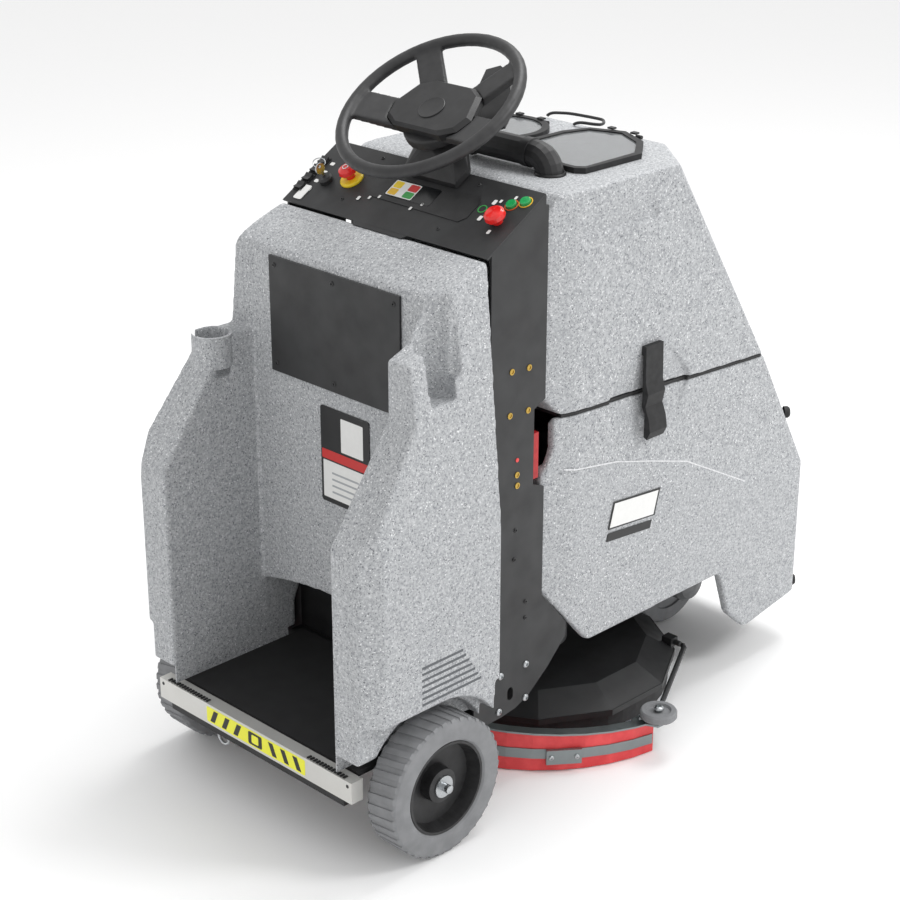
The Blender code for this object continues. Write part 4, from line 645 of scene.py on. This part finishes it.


# Black discs on the bar's face stand in for its two holes: painted shade, no hole is cut.
def step_bar_hole_shade():
    bm = bmesh.new()
    turned(bm, [(0, 0.0004), (0.0035, 0.0004), (0.0038, 0.0)],
           face_on_bar() @ Matrix.Translation((-0.272, 0.012, 0)), 18)
    turned(bm, [(0, 0.0004), (0.0035, 0.0004), (0.0038, 0.0)],
           face_on_bar() @ Matrix.Translation((0.272, 0.012, 0)), 18)
    piece("step_bar_holes_painted_shade", bm, BLACK_INK, "chassis")


def label(name, place, low, high, bands, body="chassis", backing=None):
    """A plain stuck-on label: a rounded backing with blank coloured fields."""
    back = bmesh.new()
    outline(back, rounded_rectangle(low, high, 0.006), place, PLATE_T)
    piece(f"{name}_back", back, backing or BLACK_INK, body, smooth=False)
    raised = place @ Matrix.Translation((0, 0, PLATE_T))
    for i, (band_low, band_high, made) in enumerate(bands):
        field = bmesh.new()
        outline(field, rounded_rectangle(band_low, band_high, 0.002), raised, 0.0003)
        piece(f"{name}_field_{i}", field, made, body, smooth=False)


def knee_wall():
    """Six screws round the knee panel and a blank label under it."""
    turn = Matrix(((0, 0, -1), (1, 0, 0), (0, 1, 0))).to_4x4()
    face = Matrix.Translation(at(0.0527, 0.0, 0.0)) @ turn
    spots = [(y, z) for y in (-0.163, 0.0, 0.163) for z in (0.835, 1.030)]
    bolts("knee_panel_screws", [face @ Matrix.Translation((y, z, 0)) for y, z in spots], 0.0048, 0.0022,
          MOULDED, "chassis")
    wall = Matrix.Translation(at(0.0570, 0.0, 0.0)) @ turn
    bands = [((-0.073, 0.700), (-0.012, 0.768), WHITE_INK), ((-0.087, 0.676), (0.042, 0.695), RED_INK),
             ((-0.084, 0.597), (0.039, 0.673), WHITE_INK)]
    label("knee_label", wall, (-0.090, 0.587), (0.045, 0.782), bands)
    lines = bmesh.new()
    raised = wall @ Matrix.Translation((0, 0, PLATE_T + 0.0003))
    for i in range(4):
        z = 0.609 + 0.013 * i
        outline(lines, rounded_rectangle((-0.060, z), (0.015, z + 0.004), 0.001), raised, 0.0001)
    piece("knee_label_bars", lines, PALE_INK, "chassis", smooth=False)


def side_face(side, x, z, half, lean=0.0):
    """Local X forward, Y up, Z outwards from a side of the machine."""
    turn = Matrix(((1, 0, 0), (0, 0, side), (0, 1, 0))).to_4x4()
    return Matrix.Translation(at(x, side * half, z)) @ turn @ Matrix.Rotation(lean, 4, "X")


def wing_feet():
    """The wings' inner skins, carried down to the mat."""
    for word, side in SIDES:
        bm = bmesh.new()
        low, high = sorted((side * BAY_Y, side * (BAY_Y + 0.0033)))
        slab(bm, Matrix.Translation(at(0.0, 0.0, 0.0)), (-0.172, low, MAT_Z), (0.118, high, 0.245))
        piece(f"wing_foot_{word}", bm, GRANITE, "chassis", smooth=False)


def cup_wall():
    """The cup holder's rim on the operator's side."""
    bm = bmesh.new()
    turns = [math.pi + math.pi * i / 18 for i in range(19)]
    rim = [(CUP_OUTSIDE * math.cos(t), CUP_OUTSIDE * math.sin(t)) for t in turns]
    rim += [(CUP_INSIDE * math.cos(t), CUP_INSIDE * math.sin(t)) for t in reversed(turns)]
    outline(bm, rim, Matrix.Translation(at(*CUP_PLACE, LEDGE_Z - 0.060)), CUP_LENGTH)
    piece("cup_wall", bm, GRANITE, "chassis")


def wing_stripes():
    """Seven plain printed bars on each wing, above the fender, each shorter than the one below."""
    for word, side in SIDES:
        bm = bmesh.new()
        face = side_face(side, 0.0, 0.0, 0.3366)
        for i in range(7):
            z = 0.402 - 0.0125 * i
            far = 0.055 + 0.008 * i
            outline(bm, [(-0.050, z), (far, z), (far, z + 0.0052), (-0.050, z + 0.0052)], face, 0.0005)
        piece(f"wing_stripes_{word}", bm, GREY_INK, "chassis", smooth=False)


# ---- side panels and tanks ---------------------------------------------------------------------------------
PANEL_BOLTS = ((0.290, 0.262), (0.290, 0.188), (0.215, 0.185), (0.219, 0.262))  # X, Z
PANEL_SCREWS = ((0.256, 0.560), (0.253, 0.500), (0.286, 0.400), (0.286, 0.365))


def panel_fasteners():
    """Bolts and rivet nuts in both side panels."""
    for word, side in SIDES:
        face = side_face(side, 0.0, 0.0, 0.2757)
        large = [face @ Matrix.Translation((x, z, 0)) for x, z in PANEL_BOLTS]
        small = [face @ Matrix.Translation((x, z, 0)) for x, z in PANEL_SCREWS]
        bolts(f"panel_bolts_{word}", large, 0.0075, 0.004, ZINC, "chassis")
        bolts(f"panel_screws_{word}", small, 0.0045, 0.0025, MOULDED, "chassis")
        nuts = bmesh.new()
        for x, z in ((0.241, 0.882), (0.287, 0.879), (0.237, 0.797), (0.286, 0.795), (0.258, 0.673),
                     (0.259, 0.651)):
            ring = [(0.0062, 0.0), (0.0062, 0.0012), (0.0038, 0.0014), (0.0034, 0.0002), (0, 0.0002)]
            turned(nuts, ring, face @ Matrix.Translation((x, z, 0)), 20)
        piece(f"rivet_nuts_{word}", nuts, BRASS, "chassis")
        plug = bmesh.new()
        turned(plug, [(0.0042, 0.0), (0.0042, 0.001), (0, 0.0014)],
               face @ Matrix.Translation((0.258, 0.703, 0)), 18)
        piece(f"panel_plug_{word}", plug, RED, "chassis")


def tank_badge():
    """A plain leaning white field with a dark edge, and a dark bar below, on each side of the tank."""
    for word, side in SIDES:
        fields = (
            ("edge", 0.0, (0.518, 0.477, 0.143, 0.056), BLACK_INK),
            ("field", 0.0009, (0.522, 0.4805, 0.134, 0.049), WHITE_INK),
            ("bar", 0.0, (0.514, 0.452, 0.134, 0.017), BLACK_INK),
        )
        for name, off, (x, z, length, height), made in fields:
            bm = bmesh.new()
            lean = 0.28 * height
            corners = [(x, z), (x + length, z - 0.012), (x + length + lean, z + height - 0.012),
                       (x + lean, z + height)]
            outline(bm, corners, side_face(side, 0.0, 0.0, 0.2812 + off), 0.0008)
            piece(f"tank_{name}_{word}", bm, made, "chassis", smooth=False)


def tank_crease_highlight():
    """The edge where the solution tank's belly begins: a thin pale wire along it, a painted highlight on the
    ledge.
    """
    line = ((0.385, 0.646), (0.419, 0.636), (0.540, 0.617), (0.650, 0.586), (0.762, 0.552), (0.964, 0.446))
    for word, side in SIDES:
        points = [Vector(at(x, side * 0.2792, z)) for x, z in line for _ in range(3)]
        wire(f"tank_crease_highlight_{word}", points, 0.0016, CREASE_HIGHLIGHT, "chassis")


def lid_details():
    """Hinge blocks behind the lids and a wire prop by the left lid."""
    for word, hinge_x, middle_y in (("right", 0.786, -0.067), ("left", 0.745, 0.148)):
        leaves = bmesh.new()
        knuckles = bmesh.new()
        for dy in (-0.030, 0.030):
            seat = Matrix.Translation(at(hinge_x, middle_y + dy, 1.188))
            slab(leaves, seat, (-0.014, -0.007, 0.0115), (-0.002, 0.007, 0.0150))
            pin = Matrix.Translation(at(hinge_x + 0.006, middle_y + dy - 0.007, 1.1905)) @ facing((0, 1, 0))
            turned(knuckles, [(0, 0), (0.0040, 0), (0.0040, 0.014), (0, 0.014)], pin, 14)
        piece(f"lid_leaves_{word}", leaves, MOULDED, f"lid_{word}")
        piece(f"lid_knuckles_{word}", knuckles, MOULDED, "recovery_tank")
    points = [(0.779, 0.066, 1.190), (0.780, 0.060, 1.197), (0.786, 0.010, 1.198), (0.800, 0.004, 1.198)]
    points += [(0.826, 0.026, 1.197), (0.832, 0.040, 1.197), (0.826, 0.112, 1.197), (0.818, 0.130, 1.197)]
    points += [(0.800, 0.153, 1.197), (0.796, 0.156, 1.190)]
    wire("lid_prop", [at(*p) for p in points], 0.0032, MOULDED, "recovery_tank")


def pipe_collars():
    """Moulded sockets on the vacuum pipe's elbow and a seal where it leaves the tank."""
    bm = bmesh.new()
    base = Matrix.Translation(at(0.467, -0.155, 1.1875))
    turned(bm, [(0.0268, 0.004), (0.0285, 0.004), (0.0305, 0.0008), (0.0305, 0.0), (0.0268, 0.0)], base, 36)
    run = Matrix.Translation(at(0.467, -0.112, 1.2195)) @ facing((0, 1, 0))
    turned(bm, [(0.0262, 0.0), (0.0280, 0.0005), (0.0280, 0.020), (0.0262, 0.0205)], run, 36)
    piece("pipe_collars", bm, MOULDED, "recovery_tank")


def battery_leads():
    """Two short leads from the connector up behind the side panel."""
    for name, dy, made in (("battery_lead_red", 0.0, CONNECTOR), ("battery_lead_black", 0.020, RUBBER)):
        points = [(0.317, -0.250 + dy, 0.734), (0.317, -0.250 + dy, 0.752), (0.313, -0.248 + dy, 0.770)]
        points += [(0.300, -0.244 + dy, 0.795), (0.280, -0.240 + dy, 0.815)]
        wire(name, [at(*p) for p in points], 0.0052, made, "chassis")


def nose_bumpers():
    """Small rubber stops on the nose's right-hand chamfer."""
    bm = bmesh.new()
    for x, y, z in ((1.137, -0.249, 0.548), (1.170, -0.270, 0.140)):
        place = Matrix.Translation(at(x, y, z)) @ facing((0.77, -0.64, 0))
        turned(bm, [(0.013, -0.004), (0.013, 0.005), (0.010, 0.009), (0, 0.010)], place, 20)
    piece("nose_bumpers", bm, RUBBER, "chassis")


# ---- console -----------------------------------------------------------------------------------------------
def on_console(x, y, off=0.0):
    """The console's face frame at a place whose X and Y are seen from above, off its face by a little."""
    up = (x - 0.178) / math.cos(CONSOLE_SLOPE)
    return CONSOLE @ Matrix.Translation((up, y, off))


def display():
    """The printed display: a dark glass with a pale card of four colour fields."""
    face = 0.0014
    glass = bmesh.new()
    outline(glass, rounded_rectangle((-0.020, -0.062), (0.024, 0.060), 0.006),
            on_console(0.256, 0.0, face), 0.0004)
    piece("display_glass", glass, SCREEN, "chassis", smooth=False)
    marks = (
        ("gauge", (-0.018, -0.012), (0.021, 0.056), WHITE_INK),
        ("gauge_red", (0.002, -0.010), (0.0190, 0.014), RED_INK),
        ("gauge_amber", (-0.016, 0.032), (0.000, 0.053), AMBER_INK),
        ("gauge_green", (-0.016, -0.010), (0.000, 0.014), LEAF_INK),
        ("gauge_yellow", (0.002, 0.032), (0.0190, 0.053), YELLOW),
    )
    for i, (name, low, high, made) in enumerate(marks):
        bm = bmesh.new()
        outline(bm, rounded_rectangle(low, high, 0.003),
                on_console(0.256, 0.0, face + 0.0004 + 0.0002 * (i > 0)), 0.0003)
        piece(name, bm, made, "chassis", smooth=False)


def console_marks():
    """Blank printed spots in place of the console's symbols, and coloured rings round the buttons."""
    white = bmesh.new()
    spots = ((0.218, 0.105, 0.005), (0.225, 0.082, 0.004), (0.232, 0.062, 0.004), (0.240, -0.045, 0.004),
             (0.226, -0.028, 0.004))
    spots += ((0.281, -0.191, 0.006), (0.244, -0.190, 0.006), (0.223, -0.232, 0.005),
              (0.286, -0.202, 0.004), (0.300, -0.226, 0.004))
    for x, y, size in spots:
        outline(white, rounded_rectangle((-size, -size * 0.7), (size, size * 0.7), size * 0.4),
                on_console(x, y, 0.0016), 0.0002)
    piece("console_spots", white, WHITE_INK, "chassis", smooth=False)
    rings = (
        ("ring_forward", 0.2847, -0.229, 0.0118, ORANGE_INK),
        ("ring_reverse", 0.2972, -0.252, 0.0118, AMBER_INK),
        ("ring_symbol", 0.263, -0.177, 0.0075, LEAF_INK),
    )
    for name, x, y, inner, made in rings:
        bm = bmesh.new()
        profile = [(inner, 0.0), (inner, 0.0006), (inner + 0.0022, 0.0006), (inner + 0.0022, 0.0),
                   (inner, 0.0)]
        turned(bm, profile, on_console(x, y, 0.0003), 32)
        piece(name, bm, made, "chassis")


def console_screws():
    spots = ((0.208, 0.141), (0.203, -0.123), (0.307, -0.126), (0.310, 0.135))
    bolts("console_screws", [on_console(x, y, 0.0001) for x, y in spots], 0.0040, 0.0018, MOULDED,
          "chassis")


def switch_bezels():
    """A raised frame round each rocker switch and a printed dot beside it."""
    bm = bmesh.new()
    dots = bmesh.new()
    for up in (0.036, 0.060, 0.085, 0.109):
        place = CONSOLE @ Matrix.Translation((up, 0.262, 0.0004))
        for low, high in (((-0.0108, -0.0115), (-0.0092, 0.0115)), ((0.0092, -0.0115), (0.0108, 0.0115)),
                          ((-0.0092, -0.0115), (0.0092, -0.0095)), ((-0.0092, 0.0095), (0.0092, 0.0115))):
            slab(bm, place, (*low, 0), (*high, 0.0020))
        outline(dots, rounded_rectangle((-0.004, -0.030), (0.004, -0.019), 0.002), place, 0.0003)
    piece("switch_bezels", bm, MOULDED, "chassis")
    piece("switch_marks", dots, WHITE_INK, "chassis", smooth=False)


def key_fob():
    """A split ring through the key's eye and a plain white tag that lies on the console."""
    centre = on_console(0.247, 0.222, 0.030)
    ring = [centre @ Vector((0.012 * math.cos(a), 0.012 * math.sin(a) + 0.010, 0.004 * math.sin(a)))
            for a in [2 * math.pi * i / 16 for i in range(16)]]
    wire("key_ring", ring, 0.0009, ZINC, "key", closed=True)
    tag = bmesh.new()
    outline(tag, rounded_rectangle((-0.020, -0.011), (0.018, 0.011), 0.004),
            on_console(0.200, 0.244, 0.0008), 0.0012)
    piece("key_tag", tag, WHITE_INK, "chassis", smooth=False)


def wheel_badge():
    """A plain round boss in the middle of the wheel's pad."""
    bm = bmesh.new()
    turned(bm, [(0.0275, -0.0080), (0.0275, -0.0068), (0.0262, -0.0060), (0.0250, -0.0064), (0, -0.0064)],
           WHEEL, 40)
    piece("wheel_badge", bm, MOULDED, "steering")


def estop_arrows():
    """The turned grooves on top of the emergency stop."""
    bm = bmesh.new()
    place = CONSOLE @ Matrix.Translation((0.086, 0.160, 0.0331))
    turned(bm, [(0.0065, 0.0), (0.0065, 0.0005), (0.0048, 0.0005), (0.0048, 0.0)], place, 28)
    piece("estop_groove", bm, WHITE_INK, "estop")


def knob_pointer():
    bm = bmesh.new()
    place = CONSOLE @ Matrix.Translation((0.080, -0.232, 0.0278))
    slab(bm, place, (0.002, -0.0012, 0), (0.014, 0.0012, 0.0012))
    piece("knob_pointer", bm, RED, "speed_knob")


# ---- squeegee ----------------------------------------------------------------------------------------------
def squeegee_fasteners():
    """Bolts on the squeegee's ears, the roller pins' nuts and the strap clamps' screws."""
    ear_spots = ((0.575, 0.352), (0.600, 0.360), (0.546, 0.360))
    heads = []
    roller_pins = []
    for _, side in SIDES:
        for x, y in ear_spots:
            z = 0.091 - 0.075 * (x - 0.222) + 0.0045
            heads.append(Matrix.Translation(at(x, side * y, z)))
        roller_pins.append(Matrix.Translation(at(0.562, side * 0.394, 0.1008)))
    bolts("squeegee_bolts", heads, 0.006, 0.0035, ZINC, "squeegee")
    bolts("roller_nuts", roller_pins, 0.0105, 0.006, ZINC, "squeegee")
    clamps = []
    for _, side in SIDES:
        around = Matrix.Translation(at(0.612, 0, 0)) @ Matrix.Rotation(math.pi + side * math.radians(52),
                                                                       4, "Z")
        for dy in (-0.026, 0.026):
            clamps.append(around @ Matrix.Translation((0.3989, dy, 0.036)) @ facing((1, 0, 0)))
    bolts("clamp_screws", clamps, 0.0055, 0.0032, ZINC, "squeegee")


# ---- studio ------------------------------------------------------------------------------------------------
def studio():
    """A pale floor, soft lights all round and the camera."""
    bm = bmesh.new()
    bmesh.ops.create_grid(bm, x_segments=1, y_segments=1, size=14.0)
    floor_mesh = bpy.data.meshes.new("studio_floor")
    bm.to_mesh(floor_mesh)
    bm.free()
    floor = bpy.data.objects.new("studio_floor", floor_mesh)
    bpy.context.scene.collection.objects.link(floor)
    floor.location.z = -0.0005
    floor_mesh.materials.append(finish("matt_white_paper", "#FFFFFF", 0.9))
    world = bpy.data.worlds.new("studio")
    bpy.context.scene.world = world
    world.use_nodes = True
    sky = world.node_tree.nodes["Background"]
    sky.inputs["Color"].default_value = (1, 1, 1, 1)
    sky.inputs["Strength"].default_value = 0.86
    bpy.context.scene.view_settings.view_transform = "Standard"
    for name, place, size, power in (
        ("key_light", (1.9, -3.3, 3.9), 1.3, 75),
        ("top_light", (1.5, 0.2, 4.4), 2.0, 85),
    ):
        data = bpy.data.lights.new(name, "AREA")
        data.size = size
        data.energy = power
        lamp = bpy.data.objects.new(name, data)
        lamp.location = place
        lamp.rotation_mode = "QUATERNION"
        lamp.rotation_quaternion = (Vector((0, 0, 0.6)) - Vector(place)).to_track_quat("-Z", "Y")
        bpy.context.scene.collection.objects.link(lamp)
    data = bpy.data.cameras.new("camera")
    data.sensor_width = 36.0
    data.lens = 82.55
    camera = bpy.data.objects.new("camera", data)
    camera.location = at(-2.3263, -2.6953, 2.1906)
    yaw, pitch = math.radians(45.136), math.radians(22.523)
    view = Vector((math.cos(yaw) * math.cos(pitch), math.sin(yaw) * math.cos(pitch), -math.sin(pitch)))
    camera.rotation_mode = "QUATERNION"
    camera.rotation_quaternion = view.to_track_quat("-Z", "Y")
    bpy.context.scene.collection.objects.link(camera)
    bpy.context.scene.camera = camera


dress_the_frame()
mouldings()
rear_tyres()
rim_bolts()
hazard_strip()
step_teeth()
step_bar_hole_shade()
knee_wall()
wing_feet()
cup_wall()
wing_stripes()
panel_fasteners()
tank_badge()
tank_crease_highlight()
lid_details()
pipe_collars()
battery_leads()
nose_bumpers()
display()
console_marks()
console_screws()
switch_bezels()
key_fob()
wheel_badge()
estop_arrows()
knob_pointer()
squeegee_fasteners()
studio()
